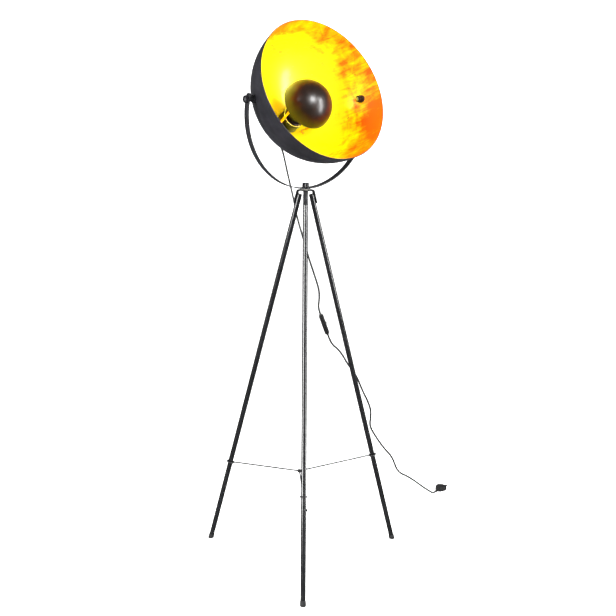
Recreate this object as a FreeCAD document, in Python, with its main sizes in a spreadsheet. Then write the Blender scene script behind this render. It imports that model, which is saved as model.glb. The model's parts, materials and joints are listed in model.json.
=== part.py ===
import FreeCAD, Part
import math
import os
import re
import Sketcher
from FreeCAD import Placement, Rotation, Vector

# Tripod spotlight floor lamp: a hemispherical shade on a U-shaped yoke, which swivels on a
# three-legged stand of steel tube. Millimetres, +Z up, floor at z = 0. The origin lies on the
# floor in the middle of the footprint, so the tripod's axis stands a quarter of the foot
# reach behind it (+Y).

os.makedirs("parts", exist_ok=True)
doc = FreeCAD.newDocument("TripodSpotlight")
sheet = doc.addObject("Spreadsheet::Sheet", "Sizes")

SIZES = {
    # tripod legs
    "foot_reach": 317.9,  # leg centre line to tripod axis, on the floor
    "leg_top_reach": 18.9,  # the same at the top of the tube
    "leg_top_height": 1058.5,
    "leg_turn": 0.7,  # degrees, the front leg off the -Y direction
    "tube_diameter": 14.5,
    "tube_wall": 1.5,
    "foot_cap_wall": 0.9,
    "foot_cap_height": 14.0,
    "foot_cap_floor": 3.5,  # rubber under the tube, on its centre line
    "insert_length": 30.0,
    "insert_flange": 1.2,
    # hub on top of the legs
    "hub_gap": 11.5,  # tube top to the underside of the plate
    "plate_diameter": 47.4,
    "plate_thickness": 3.0,
    "ear_width": 14.0,
    "ear_thickness": 2.4,
    "ear_length": 40.0,
    "leg_screw_diameter": 5.0,
    "leg_screw_head": 9.0,
    "leg_screw_head_height": 2.6,
    "leg_screw_drop": 15.0,  # below the tube top
    "leg_screw_depth": 4.0,  # past the tube's centre line
    # brace between the legs
    "brace_rod_diameter": 4.0,
    "brace_eye_clearance": 0.3,
    "brace_hub_diameter": 11.0,
    "brace_hub_height": 7.0,
    "brace_hub_bite": 3.0,  # rod length inside the hub
    "brace_hub_left": 9.5,  # the hub sits off the tripod axis, towards -X
    "brace_hub_level": 267.0,
    "eye_level_front": 275.3,
    "eye_level_right": 278.5,
    "eye_level_left": 253.0,
    "stop_screw_drop": 34.0,  # below each eye
    "stop_screw_diameter": 3.6,
    "stop_head_diameter": 6.8,
    "stop_head_height": 3.4,
    # swivel
    "stud_diameter": 8.0,
    "stud_tail": 4.0,  # below its nut
    "stud_nut_width": 13.0,
    "stud_nut_height": 6.5,
    "swivel_washer_diameter": 24.0,
    "swivel_washer_thickness": 1.0,
    "boss_diameter": 25.0,
    "boss_under": 3.1,  # below the middle of the yoke strip
    "boss_over": 2.4,  # above it
    "swivel_nut_diameter": 18.7,
    "swivel_nut_height": 11.5,
    "running_gap": 0.3,
    "pin_clearance": 0.08,
    "nut_chamfer": 0.8,
    "stud_recess": 1.0,  # stud end below the top of the swivel nut
    # yoke
    "yoke_heading": -140.6,  # degrees, direction of the left pivot
    "yoke_rake": 3.7,  # degrees, the yoke's lean towards the side that the shade faces
    "yoke_gap": 10.8,  # the middle of the yoke strip outside the shade's rim
    "yoke_drop": 30.1,  # arc centre below the pivots
    "yoke_width": 18.0,
    "yoke_thickness": 3.0,
    "yoke_end_rise": 16.0,  # strip ends above the pivots
    "pivot_pad_diameter": 17.0,
    "pivot_pad_rise": 0.2,
    # pivots of the shade
    "pivot_stud_diameter": 10.0,
    "pivot_stud_tip": 3.5,  # past the inner nut
    "stud_tip_chamfer": 1.0,
    "stud_crown": 0.8,  # chamfer of the stud's end in the knob
    "stud_show": 0.6,  # stud end above the floor of the knob's recess
    "pivot_nut_width": 17.0,
    "pivot_nut_height": 8.0,
    "pivot_seat_thickness": 1.5,
    "pivot_flange_diameter": 21.0,
    "pivot_flange_rim": 3.0,
    "spacer_diameter": 13.0,
    "knob_diameter": 20.0,
    "knob_thickness": 7.4,
    "knob_chamfer": 1.0,
    "knob_recess": 2.2,
    "knob_recess_diameter": 12.0,
    "flute_diameter": 2.4,
    "flute_depth": 0.7,
    # shade
    "aim_angle": 25.5,  # degrees above level
    "rim_radius": 200.0,
    "dome_depth": 190.0,
    "shell_thickness": 1.2,
    "rim_bead": 1.2,
    "pivot_setback": 62.3,  # pivots behind the rim plane
    # lamp holder and glare cap, on an axis that droops a little from the shade's own
    "lamp_droop": 4.2,
    "lamp_sidestep": 2.0,
    "cap_radius": 70.4,
    "cap_depth": 67.3,
    "cap_thickness": 1.0,
    "cap_setback": 85.9,  # its rim behind the shade's rim plane
    "strut_width": 6.5,
    "strut_thickness": 1.4,
    "strut_tab": 10.0,
    "strut_foot_radius": 43.0,
    "strut_heading": 15.5,
    "cup_radius": 31.0,
    "cup_height": 38.0,
    "cup_shoulder": 5.0,
    "cup_wall": 1.2,
    "holder_radius": 20.3,
    "holder_length": 57.0,
    "holder_chamfer": 1.5,
    "holder_setback": 122.7,
    "socket_depth": 32.0,
    "socket_radius": 14.6,
    "thread_wall": 1.0,
    "thread_lip": 2.0,
    "contact_radius": 4.0,
    "contact_height": 3.0,
    "nipple_diameter": 10.0,
    "nipple_bore": 7.0,
    "nipple_bite": 8.0,
    "nipple_nut_width": 14.0,
    "nipple_nut_height": 4.0,
    "gland_base_radius": 9.0,
    "gland_base_height": 8.0,
    "gland_neck_radius": 6.5,
    "gland_tip_radius": 4.0,
    "gland_length": 32.0,
    "gland_floor": 2.0,  # deeper than its base
    # cord, switch and plug
    "cord_diameter": 5.4,
    "switch_length": 57.0,
    "switch_width": 20.0,
    "switch_thickness": 13.0,
    "switch_bevel": 4.0,
    "collar_length": 4.0,
    "collar_radius": 4.2,
    "slot_length": 15.0,
    "slot_width": 7.0,
    "slot_depth": 2.6,
    "slider_length": 8.0,
    "slider_rise": 2.2,
    "slider_offset": 2.5,
    "switch_screw_diameter": 4.0,
    "switch_screw_offset": 19.0,
    "switch_screw_recess": 2.0,
    "switch_screw_sink": 0.6,
    "plug_length": 36.0,
    "plug_width": 33.0,
    "plug_nose_width": 24.0,
    "plug_thickness": 13.7,
    "plug_relief_length": 22.0,
    "plug_relief_wall": 0.6,
    "plug_relief_overlap": 4.0,
    "plug_tail_corner": 4.0,
    "plug_front_corner": 6.0,
    "pin_diameter": 4.0,
    "pin_length": 19.0,
    "pin_spacing": 18.6,
    "pin_root": 6.0,
}

for row, (alias, value) in enumerate(SIZES.items(), 1):
    sheet.set("A%d" % row, alias)
    sheet.set("B%d" % row, str(value))
    sheet.setAlias("B%d" % row, alias)
doc.recompute()


# ---- expressions -------------------------------------------------------------------------


def sized(expression):
    # every size's name holds an underscore, which tells it from cos, sqrt and the like
    return re.sub(r"[a-z]+(_[a-z]+)+", r"Sizes.\g<0>", expression)


def number(expression):
    value = sheet.evalExpression(sized(expression))
    return float(getattr(value, "Value", value))


SPLAY = "atan((foot_reach - leg_top_reach) / leg_top_height)"
LEG_LENGTH = "(leg_top_height / cos(%s))" % SPLAY
LEG_BORE_RADIUS = "(tube_diameter / 2 - tube_wall)"
PLATE_UNDER = "(leg_top_height + hub_gap)"
PLATE_TOP = "(leg_top_height + hub_gap + plate_thickness)"
BOSS_UNDERSIDE = "(%s + swivel_washer_thickness + running_gap)" % PLATE_TOP
YOKE_LEVEL = "(%s + boss_under)" % BOSS_UNDERSIDE
BOSS_TOP = "(%s + boss_over)" % YOKE_LEVEL
YOKE_RADIUS = "(rim_radius + yoke_gap)"
PIVOT_RISE = "(%s + yoke_drop)" % YOKE_RADIUS
DOME_RADIUS = "((rim_radius * rim_radius + dome_depth * dome_depth) / (2 * dome_depth))"
DOME_INSIDE = "(%s - shell_thickness)" % DOME_RADIUS
RIM_LEVEL = "(dome_depth - %s)" % DOME_RADIUS
DOME_CENTRE = "(pivot_setback - %s)" % RIM_LEVEL
CAP_SPHERE = "((cap_radius * cap_radius + cap_depth * cap_depth) / (2 * cap_depth))"
CAP_LEVEL = "(%s - cap_setback)" % RIM_LEVEL
CAP_CENTRE = "(%s + cap_depth - %s)" % (CAP_LEVEL, CAP_SPHERE)
CAP_INSIDE = "(%s - cap_thickness)" % CAP_SPHERE


def chord(radius, offset):
    # half chord of a circle at an offset from its centre
    return "sqrt((%s) * (%s) - (%s) * (%s))" % (radius, radius, offset, offset)


# ---- places ------------------------------------------------------------------------------


def moved(x=0.0, y=0.0, z=0.0):
    return Placement(Vector(x, y, z), Rotation())


def turnedBy(axis, degrees):
    return Placement(Vector(), Rotation(axis, degrees))


X, Y, Z = Vector(1, 0, 0), Vector(0, 1, 0), Vector(0, 0, 1)
stand = moved(0, number("foot_reach / 4"), 0)
hub = stand * turnedBy(Z, number("leg_turn - 90"))
yokeFrame = (
    stand
    * moved(0, 0, number(YOKE_LEVEL))
    * turnedBy(Z, number("yoke_heading"))
    * turnedBy(X, number("-yoke_rake"))
)
head = yokeFrame * moved(0, 0, number(PIVOT_RISE)) * turnedBy(X, number("yoke_rake + aim_angle - 90"))
shade = head * moved(0, 0, number(DOME_CENTRE))
lamp = shade * turnedBy(X, number("lamp_droop")) * turnedBy(Y, number("lamp_sidestep"))
legs = {
    name: stand
    * turnedBy(Z, number("leg_turn - 90") + 120 * step)
    * moved(number("foot_reach"), 0, 0)
    * turnedBy(Y, -number(SPLAY))
    for step, name in enumerate(("front", "right", "left"))
}
sides = {"left": head * turnedBy(Y, 90), "right": head * turnedBy(Y, -90)}


# ---- building blocks ---------------------------------------------------------------------

pieces = []


def keep(thing, label, frame):
    # names a finished sub-part and puts it in its place
    thing.Label = label
    thing.Placement = frame
    pieces.append(thing)
    return thing


def outline(body, plane, name, corners, holes=()):
    # A closed outline in one of the body's origin planes. A corner is (x, y), or
    # (x, y, radius, side) where an arc leads on to the next one: side 1 turns left, -1 right.
    # A hole is (x, y, diameter).
    sketch = body.newObject("Sketcher::SketchObject", name)
    support = [f for f in body.Origin.OriginFeatures if f.Role == plane]
    sketch.AttachmentSupport = [(support[0], "")]
    sketch.MapMode = "FlatFace"
    spots = [Vector(number(c[0]), number(c[1]), 0) for c in corners]
    ends = []
    for index, corner in enumerate(corners):
        start = spots[index]
        end = spots[(index + 1) % len(spots)]
        if len(corner) == 2:
            sketch.addGeometry(Part.LineSegment(start, end), False)
            ends.append((1, 2))
            continue
        radius = number(corner[2])
        side = corner[3]
        span = end - start
        reach = math.sqrt(max(radius**2 - span.Length**2 / 4, 0))
        centre = (start + end) / 2 + Vector(-span.y, span.x, 0) * (side * reach / span.Length)
        first, last = (start, end) if side > 0 else (end, start)
        angles = [math.atan2(p.y - centre.y, p.x - centre.x) for p in (first, last)]
        sketch.addGeometry(Part.ArcOfCircle(Part.Circle(centre, Z, radius), *angles), False)
        ends.append((1, 2) if side > 0 else (2, 1))
    for index, corner in enumerate(corners):
        after = (index + 1) % len(corners)
        sketch.addConstraint(Sketcher.Constraint("Coincident", index, ends[index][1], after, ends[after][0]))
    for index, corner in enumerate(corners):
        pin(sketch, index, ends[index][0], corner)
        if len(corner) > 2:
            item = sketch.addConstraint(Sketcher.Constraint("Radius", index, number(corner[2])))
            sketch.setExpression("Constraints[%d]" % item, sized(corner[2]))
    for hole in holes:
        centre = Vector(number(hole[0]), number(hole[1]), 0)
        index = sketch.addGeometry(Part.Circle(centre, Z, number(hole[2]) / 2), False)
        pin(sketch, index, 3, hole)
        item = sketch.addConstraint(Sketcher.Constraint("Diameter", index, number(hole[2])))
        sketch.setExpression("Constraints[%d]" % item, sized(hole[2]))
    return sketch


def pin(sketch, index, point, spot):
    # binds a point of the sketch to its two coordinates
    for kind, expression in zip(("DistanceX", "DistanceY"), spot):
        item = sketch.addConstraint(Sketcher.Constraint(kind, -1, 1, index, point, number(expression)))
        if expression != "0":
            sketch.setExpression("Constraints[%d]" % item, sized(expression))


def turnedBody(name, corners):
    # a lathe piece about Z: corners are (radius, height)
    body = doc.addObject("PartDesign::Body", name)
    sketch = outline(body, "XZ_Plane", name + "Profile", corners)
    spin = body.newObject("PartDesign::Revolution", name + "Turn")
    spin.Profile = sketch
    spin.ReferenceAxis = (sketch, ["V_Axis"])
    spin.Angle = 360
    return body


def paddedBody(name, plane, corners, length, side="Symmetric", holes=()):
    body = doc.addObject("PartDesign::Body", name)
    sketch = outline(body, plane, name + "Profile", corners, holes)
    pad = body.newObject("PartDesign::Pad", name + "Pad")
    pad.Profile = sketch
    pad.SideType = side
    pad.setExpression("Length", sized(length))
    return body


def hexagon(width):
    return [
        ("%s / sqrt(3) * cos(%d)" % (width, turn), "%s / sqrt(3) * sin(%d)" % (width, turn))
        for turn in range(30, 390, 60)
    ]


def rectangle(left, right, low, high):
    return [(left, low), (right, low), (right, high), (left, high)]


def around(body, feature, count):
    # repeats a feature of the body in a circle about Z
    axis = [f for f in body.Origin.OriginFeatures if f.Role == "Z_Axis"]
    pattern = body.newObject("PartDesign::PolarPattern", body.Name + "Pattern")
    pattern.Originals = [feature]
    pattern.Axis = (axis[0], [""])
    pattern.Angle = 360
    pattern.Occurrences = count
    body.Tip = pattern


def flute(body, diameter, count):
    # round grooves along the rim of a knob or thumb nut
    spot = ("%s / 2 + flute_diameter / 2 - flute_depth" % diameter, "0", "flute_diameter")
    sketch = body.newObject("Sketcher::SketchObject", body.Name + "FluteProfile")
    support = [f for f in body.Origin.OriginFeatures if f.Role == "XY_Plane"]
    sketch.AttachmentSupport = [(support[0], "")]
    sketch.MapMode = "FlatFace"
    index = sketch.addGeometry(Part.Circle(Vector(number(spot[0]), 0, 0), Z, number(spot[2]) / 2), False)
    pin(sketch, index, 3, spot)
    item = sketch.addConstraint(Sketcher.Constraint("Diameter", index, number(spot[2])))
    sketch.setExpression("Constraints[%d]" % item, sized(spot[2]))
    groove = body.newObject("PartDesign::Pocket", body.Name + "Flute")
    groove.Profile = sketch
    groove.Type = "ThroughAll"
    groove.SideType = "Symmetric"
    around(body, groove, count)


def cylinder(name, radius, low, high, place=Placement()):
    thing = doc.addObject("Part::Cylinder", name)
    thing.setExpression("Radius", sized(radius))
    thing.setExpression("Height", sized("(%s) - (%s)" % (high, low)))
    thing.Placement = place * moved(0, 0, number(low))
    return thing


def box(name, width, depth, height, place):
    thing = doc.addObject("Part::Box", name)
    thing.setExpression("Length", sized(width))
    thing.setExpression("Width", sized(depth))
    thing.setExpression("Height", sized(height))
    thing.Placement = place
    return thing


def sphere(name, radius, place=Placement()):
    thing = doc.addObject("Part::Sphere", name)
    thing.setExpression("Radius", sized(radius))
    thing.Placement = place
    return thing


def fused(name, things):
    if len(things) == 1:
        return things[0]
    thing = doc.addObject("Part::MultiFuse", name)
    thing.Shapes = things
    return thing


def cut(name, base, tools):
    thing = doc.addObject("Part::Cut", name)
    thing.Base = base
    thing.Tool = fused(name + "Tools", tools)
    return thing


def common(name, base, tool):
    thing = doc.addObject("Part::Common", name)
    thing.Base = base
    thing.Tool = tool
    return thing


def hexNut(name, width, low, height, bore):
    # a hexagonal nut about Z, its corners turned down, standing on the level low
    prism = paddedBody(name + "Prism", "XY_Plane", hexagon(width), height, "One side", [("0", "0", bore)])
    prism.Placement = moved(0, 0, number(low))
    corner = "(%s / sqrt(3))" % width
    flat = "(%s / 2)" % width
    bevel = "(%s - %s)" % (corner, flat)
    lens = turnedBody(
        name + "Lens",
        [
            ("0", low),
            (flat, low),
            (corner, "%s + %s * 0.6" % (low, bevel)),
            (corner, "%s + %s - %s * 0.6" % (low, height, bevel)),
            (flat, "%s + %s" % (low, height)),
            ("0", "%s + %s" % (low, height)),
        ],
    )
    return common(name, prism, lens)


# ---- tripod ------------------------------------------------------------------------------


def hubPlate():
    ear = "ear_thickness / cos(%s)" % SPLAY
    inner = "(leg_top_reach + (leg_top_height - (%s)) * tan(SPLAY) + tube_diameter / 2 / cos(SPLAY))"
    inner = inner.replace("SPLAY", SPLAY)
    low = "(%s - ear_length * cos(%s))" % (PLATE_TOP, SPLAY)
    root = "plate_diameter / 2 - ear_thickness"
    body = turnedBody(
        "hubPlate",
        rectangle("stud_diameter / 2 + pin_clearance", "plate_diameter / 2", PLATE_UNDER, PLATE_TOP),
    )
    corners = [
        (root, PLATE_UNDER),
        (inner % PLATE_UNDER, PLATE_UNDER),
        (inner % low, low),
        (inner % low + " + " + ear, low),
        (inner % PLATE_TOP + " + " + ear, PLATE_TOP),
        (root, PLATE_TOP),
    ]
    sketch = outline(body, "XZ_Plane", "earProfile", corners)
    pad = body.newObject("PartDesign::Pad", "earPad")
    pad.Profile = sketch
    pad.SideType = "Symmetric"
    pad.setExpression("Length", sized("ear_width"))
    around(body, pad, 3)
    holes = [
        cylinder(
            "earHole%d" % step,
            "leg_screw_diameter / 2 + pin_clearance",
            "0",
            "tube_diameter / 2 + 3 * ear_thickness",
            hub.inverse() * frame * legScrewPlace(),
        )
        for step, frame in enumerate(legs.values())
    ]
    keep(cut("hub_plate", body, holes), "hub_plate", hub)


def legScrewPlace():
    # on the leg's centre line, with the screw's axis pointing outwards
    return moved(0, 0, number("%s - leg_screw_drop" % LEG_LENGTH)) * turnedBy(Y, 90)


def stopScrewPlace(name):
    # below the brace eye, with the screw's axis across the leg
    level = number("(eye_level_%s - stop_screw_drop) / cos(%s)" % (name, SPLAY))
    return moved(0, 0, level) * turnedBy(X, -90)


def leg(name, frame):
    tube = turnedBody(
        "tube" + name.capitalize(),
        rectangle(LEG_BORE_RADIUS, "tube_diameter / 2", "foot_cap_floor", LEG_LENGTH),
    )
    holes = [
        cylinder(
            "legHole" + name, "leg_screw_diameter / 2 + pin_clearance", "0", "tube_diameter", legScrewPlace()
        ),
        cylinder("stopHole" + name, "stop_screw_diameter / 2", "0", "tube_diameter", stopScrewPlace(name)),
    ]
    keep(cut("leg_" + name, tube, holes), "leg_" + name, frame)

    insert = turnedBody(
        "insert" + name.capitalize(),
        [
            ("0", "%s - insert_length" % LEG_LENGTH),
            ("%s - pin_clearance" % LEG_BORE_RADIUS, "%s - insert_length" % LEG_LENGTH),
            ("%s - pin_clearance" % LEG_BORE_RADIUS, LEG_LENGTH),
            ("tube_diameter / 2", LEG_LENGTH),
            ("tube_diameter / 2", "%s + insert_flange" % LEG_LENGTH),
            ("0", "%s + insert_flange" % LEG_LENGTH),
        ],
    )
    hole = cylinder(
        "insertHole" + name, "leg_screw_diameter / 2", "-leg_screw_depth", "tube_diameter", legScrewPlace()
    )
    keep(cut("leg_insert_" + name, insert, [hole]), "leg_insert_" + name, frame)

    seat = "(tube_diameter / 2 + ear_thickness)"
    screw = turnedBody(
        "leg_screw_" + name,
        [
            ("0", "-leg_screw_depth"),
            ("leg_screw_diameter / 2", "-leg_screw_depth"),
            ("leg_screw_diameter / 2", seat),
            ("leg_screw_head / 2", seat),
            ("leg_screw_head / 2", seat + " + leg_screw_head_height / 3"),
            ("leg_screw_head / 4", seat + " + leg_screw_head_height"),
            ("0", seat + " + leg_screw_head_height"),
        ],
    )
    keep(screw, "leg_screw_" + name, frame * legScrewPlace())

    stopSeat = "(tube_diameter / 2)"
    stop = turnedBody(
        "stop_screw_" + name,
        [
            ("0", stopSeat + " - 2 * tube_wall"),
            ("stop_screw_diameter / 2", stopSeat + " - 2 * tube_wall"),
            ("stop_screw_diameter / 2", stopSeat),
            ("stop_head_diameter / 2", stopSeat),
            ("stop_head_diameter / 2", stopSeat + " + stop_head_height / 2"),
            ("stop_head_diameter / 4", stopSeat + " + stop_head_height"),
            ("0", stopSeat + " + stop_head_height"),
        ],
    )
    keep(stop, "stop_screw_" + name, frame * stopScrewPlace(name))

    capOutside = "(tube_diameter / 2 + foot_cap_wall)"
    cup = turnedBody(
        "footCup" + name.capitalize(),
        [
            ("0", "-2 * foot_cap_floor"),
            (capOutside, "-2 * foot_cap_floor"),
            (capOutside, "foot_cap_height - foot_cap_wall"),
            (capOutside + " - foot_cap_wall / 2", "foot_cap_height"),
            ("tube_diameter / 2", "foot_cap_height"),
            ("tube_diameter / 2", "foot_cap_floor"),
            ("0", "foot_cap_floor"),
        ],
    )
    ground = box(
        "ground" + name.capitalize(),
        "6 * tube_diameter",
        "6 * tube_diameter",
        "3 * tube_diameter",
        turnedBy(Y, number(SPLAY))
        * moved(number("-3 * tube_diameter"), number("-3 * tube_diameter"), number("-3 * tube_diameter")),
    )
    keep(cut("foot_cap_" + name, cup, [ground]), "foot_cap_" + name, frame)


def brace():
    # three rods from a small hub, each with an eye around a leg
    centre = stand * moved(number("-brace_hub_left"), 0, number("brace_hub_level"))
    eyeReach = "(tube_diameter / 2 + brace_eye_clearance + brace_rod_diameter / 2)"
    rods = []
    for name, frame in legs.items():
        eyePlace = frame * moved(0, 0, number("eye_level_%s / cos(%s)" % (name, SPLAY)))
        along = eyePlace.Base - centre.Base
        rodFrame = Placement(centre.Base, Rotation(Vector(), Z.cross(along), along, "ZYX"))
        eye = doc.addObject("Part::Torus", "eye" + name.capitalize())
        eye.setExpression("Radius1", sized(eyeReach))
        eye.setExpression("Radius2", sized("brace_rod_diameter / 2"))
        eye.Placement = rodFrame.inverse() * eyePlace
        rod = doc.addObject("Part::Cylinder", "rod" + name.capitalize())
        rod.setExpression("Radius", sized("brace_rod_diameter / 2"))
        bite = number("brace_hub_diameter / 2 - brace_hub_bite")
        rod.Height = along.Length - bite - number(eyeReach)
        rod.Placement = moved(0, 0, bite)
        rods.append((fused("brace_rod_" + name, [rod, eye]), name, rodFrame))
    drum = cylinder("braceDrum", "brace_hub_diameter / 2", "-brace_hub_height / 2", "brace_hub_height / 2")
    sockets = [
        cylinder(
            "braceSocket" + name.capitalize(),
            "brace_rod_diameter / 2",
            "brace_hub_diameter / 2 - brace_hub_bite",
            "brace_hub_diameter",
            centre.inverse() * rodFrame,
        )
        for rod, name, rodFrame in rods
    ]
    keep(cut("brace_hub", drum, sockets), "brace_hub", centre)
    for rod, name, rodFrame in rods:
        keep(rod, "brace_rod_" + name, rodFrame)


def swivel():
    studTop = "(%s + running_gap + swivel_nut_height - stud_recess)" % BOSS_TOP
    nutLow = "(%s - stud_nut_height)" % PLATE_UNDER
    studLow = "(%s - stud_tail)" % nutLow
    bevel = "stud_diameter / 2 - nut_chamfer"
    stud = turnedBody(
        "swivel_stud",
        [
            ("0", studLow),
            (bevel, studLow),
            ("stud_diameter / 2", studLow + " + nut_chamfer"),
            ("stud_diameter / 2", studTop + " - nut_chamfer"),
            (bevel, studTop),
            ("0", studTop),
        ],
    )
    keep(stud, "swivel_stud", stand)
    keep(hexNut("stud_nut", "stud_nut_width", nutLow, "stud_nut_height", "stud_diameter"), "stud_nut", stand)
    washer = turnedBody(
        "swivel_washer",
        rectangle(
            "stud_diameter / 2 + pin_clearance",
            "swivel_washer_diameter / 2",
            PLATE_TOP,
            PLATE_TOP + " + swivel_washer_thickness",
        ),
    )
    keep(washer, "swivel_washer", stand)
    low = "(%s + running_gap)" % BOSS_TOP
    thumb = turnedBody(
        "swivel_nut",
        [
            ("stud_diameter / 2 + pin_clearance", low),
            ("swivel_nut_diameter / 2 - nut_chamfer", low),
            ("swivel_nut_diameter / 2", low + " + nut_chamfer"),
            ("swivel_nut_diameter / 2", low + " + swivel_nut_height - nut_chamfer"),
            ("swivel_nut_diameter / 2 - nut_chamfer", low + " + swivel_nut_height"),
            ("stud_diameter / 2 + pin_clearance", low + " + swivel_nut_height"),
        ],
    )
    flute(thumb, "swivel_nut_diameter", 18)
    keep(thumb, "swivel_nut", stand)


# ---- yoke --------------------------------------------------------------------------------


def yoke():
    outside = "(%s + yoke_thickness / 2)" % YOKE_RADIUS
    inside = "(%s - yoke_thickness / 2)" % YOKE_RADIUS
    endRise = "(yoke_drop + yoke_end_rise)"
    top = "(%s + yoke_end_rise)" % PIVOT_RISE
    strip = paddedBody(
        "yokeStrip",
        "XZ_Plane",
        [
            ("-1 * " + chord(outside, endRise), top, outside, 1),
            ("0", "-yoke_thickness / 2", outside, 1),
            (chord(outside, endRise), top),
            (chord(inside, endRise), top, inside, -1),
            ("0", "yoke_thickness / 2", inside, -1),
            ("-1 * " + chord(inside, endRise), top),
        ],
        "yoke_width",
    )
    # the strip's ends are rounded to half its width
    half = "(yoke_width / 2)"
    shoulder = "(%s - %s)" % (top, half)
    corners = [
        (half, shoulder, half + " * 1.0001", 1),
        ("0", top, half + " * 1.0001", 1),
        ("-1 * " + half, shoulder),
        ("-2 * " + half, shoulder),
        ("-2 * " + half, top + " + 1"),
        ("2 * " + half, top + " + 1"),
        ("2 * " + half, shoulder),
    ]
    sketch = outline(strip, "YZ_Plane", "yokeEndProfile", corners)
    trim = strip.newObject("PartDesign::Pocket", "yokeEndTrim")
    trim.Profile = sketch
    trim.Type = "ThroughAll"
    trim.SideType = "Symmetric"
    # flat round pads carry the pivots square, and a level boss carries the swivel
    pad = "(pivot_pad_diameter / 2)"
    padInside = "(%s - pivot_pad_rise)" % chord(inside, "yoke_drop + " + pad)
    padOutside = "(%s + pivot_pad_rise)" % chord(outside, "yoke_drop - " + pad)
    pivotPlace = moved(0, 0, number(PIVOT_RISE))
    pads = [
        cylinder("pivotPad%d" % turn, pad, padInside, padOutside, pivotPlace * turnedBy(Y, turn))
        for turn in (90, -90)
    ]
    level = turnedBy(X, number("yoke_rake"))
    boss = cylinder("swivelBoss", "boss_diameter / 2", "-boss_under", "boss_over", level)
    bores = [
        cylinder(
            "pivotBore%d" % turn,
            "pivot_stud_diameter / 2 + pin_clearance",
            YOKE_RADIUS + " / 2",
            YOKE_RADIUS + " * 2",
            pivotPlace * turnedBy(Y, turn),
        )
        for turn in (90, -90)
    ]
    studBore = cylinder(
        "swivelBore", "stud_diameter / 2 + pin_clearance", "-2 * boss_diameter", "2 * boss_diameter", level
    )
    solid = fused("yokeSolid", [strip, boss] + pads)
    keep(cut("yoke", solid, bores + [studBore]), "yoke", yokeFrame)
    return padInside, padOutside


# ---- shade -------------------------------------------------------------------------------


def domeShell():
    inside = chord(DOME_INSIDE, RIM_LEVEL)
    lip = RIM_LEVEL + " + 2 * rim_bead"
    shell = turnedBody(
        "domeSkin",
        [
            ("0", "-1 * " + DOME_RADIUS, DOME_RADIUS, 1),
            ("rim_radius", RIM_LEVEL, "rim_bead * 1.05", 1),
            ("rim_radius", lip),
            (inside, lip),
            (inside, RIM_LEVEL, DOME_INSIDE, -1),
            ("0", "-1 * " + DOME_INSIDE),
        ],
    )
    pivotHoles = [
        cylinder(
            "shellHole%d" % turn,
            "pivot_stud_diameter / 2 + pin_clearance",
            "rim_radius / 2",
            "rim_radius * 1.5",
            moved(0, 0, -number(DOME_CENTRE)) * turnedBy(Y, turn),
        )
        for turn in (90, -90)
    ]
    nippleHole = cylinder(
        "nippleHole",
        "nipple_diameter / 2 + pin_clearance",
        "-2 * rim_radius",
        "-rim_radius / 2",
        shade.inverse() * lamp,
    )
    keep(cut("dome_shell", shell, pivotHoles + [nippleHole]), "dome_shell", shade)


def glareCap():
    inside = chord(CAP_INSIDE, "%s - %s" % (CAP_LEVEL, CAP_CENTRE))
    cap = turnedBody(
        "glare_cap",
        [
            (inside, CAP_LEVEL),
            ("cap_radius", CAP_LEVEL, CAP_SPHERE, 1),
            ("0", CAP_LEVEL + " + cap_depth"),
            ("0", CAP_LEVEL + " + cap_depth - cap_thickness", CAP_INSIDE, -1),
        ],
    )
    keep(cap, "glare_cap", lamp)
    # flat struts run from inside the cap's rim back to the floor of the shade
    tab = "(%s - pin_clearance)" % chord(CAP_INSIDE, "%s + strut_tab - %s" % (CAP_LEVEL, CAP_CENTRE))
    for step in range(3):
        bar = paddedBody(
            "strutBar%d" % (step + 1),
            "XZ_Plane",
            [
                ("strut_foot_radius", "-1 * " + DOME_RADIUS),
                ("strut_foot_radius + strut_thickness", "-1 * " + DOME_RADIUS),
                (tab, CAP_LEVEL),
                (tab, CAP_LEVEL + " + strut_tab"),
                (tab + " - strut_thickness", CAP_LEVEL + " + strut_tab"),
                (tab + " - strut_thickness", CAP_LEVEL),
            ],
            "strut_width",
        )
        wall = sphere("strutWall%d" % (step + 1), DOME_INSIDE)
        name = "cap_strut_%d" % (step + 1)
        turn = turnedBy(Z, number("strut_heading") + 120 * step)
        keep(common(name, bar, wall), name, lamp * turn)


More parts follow.
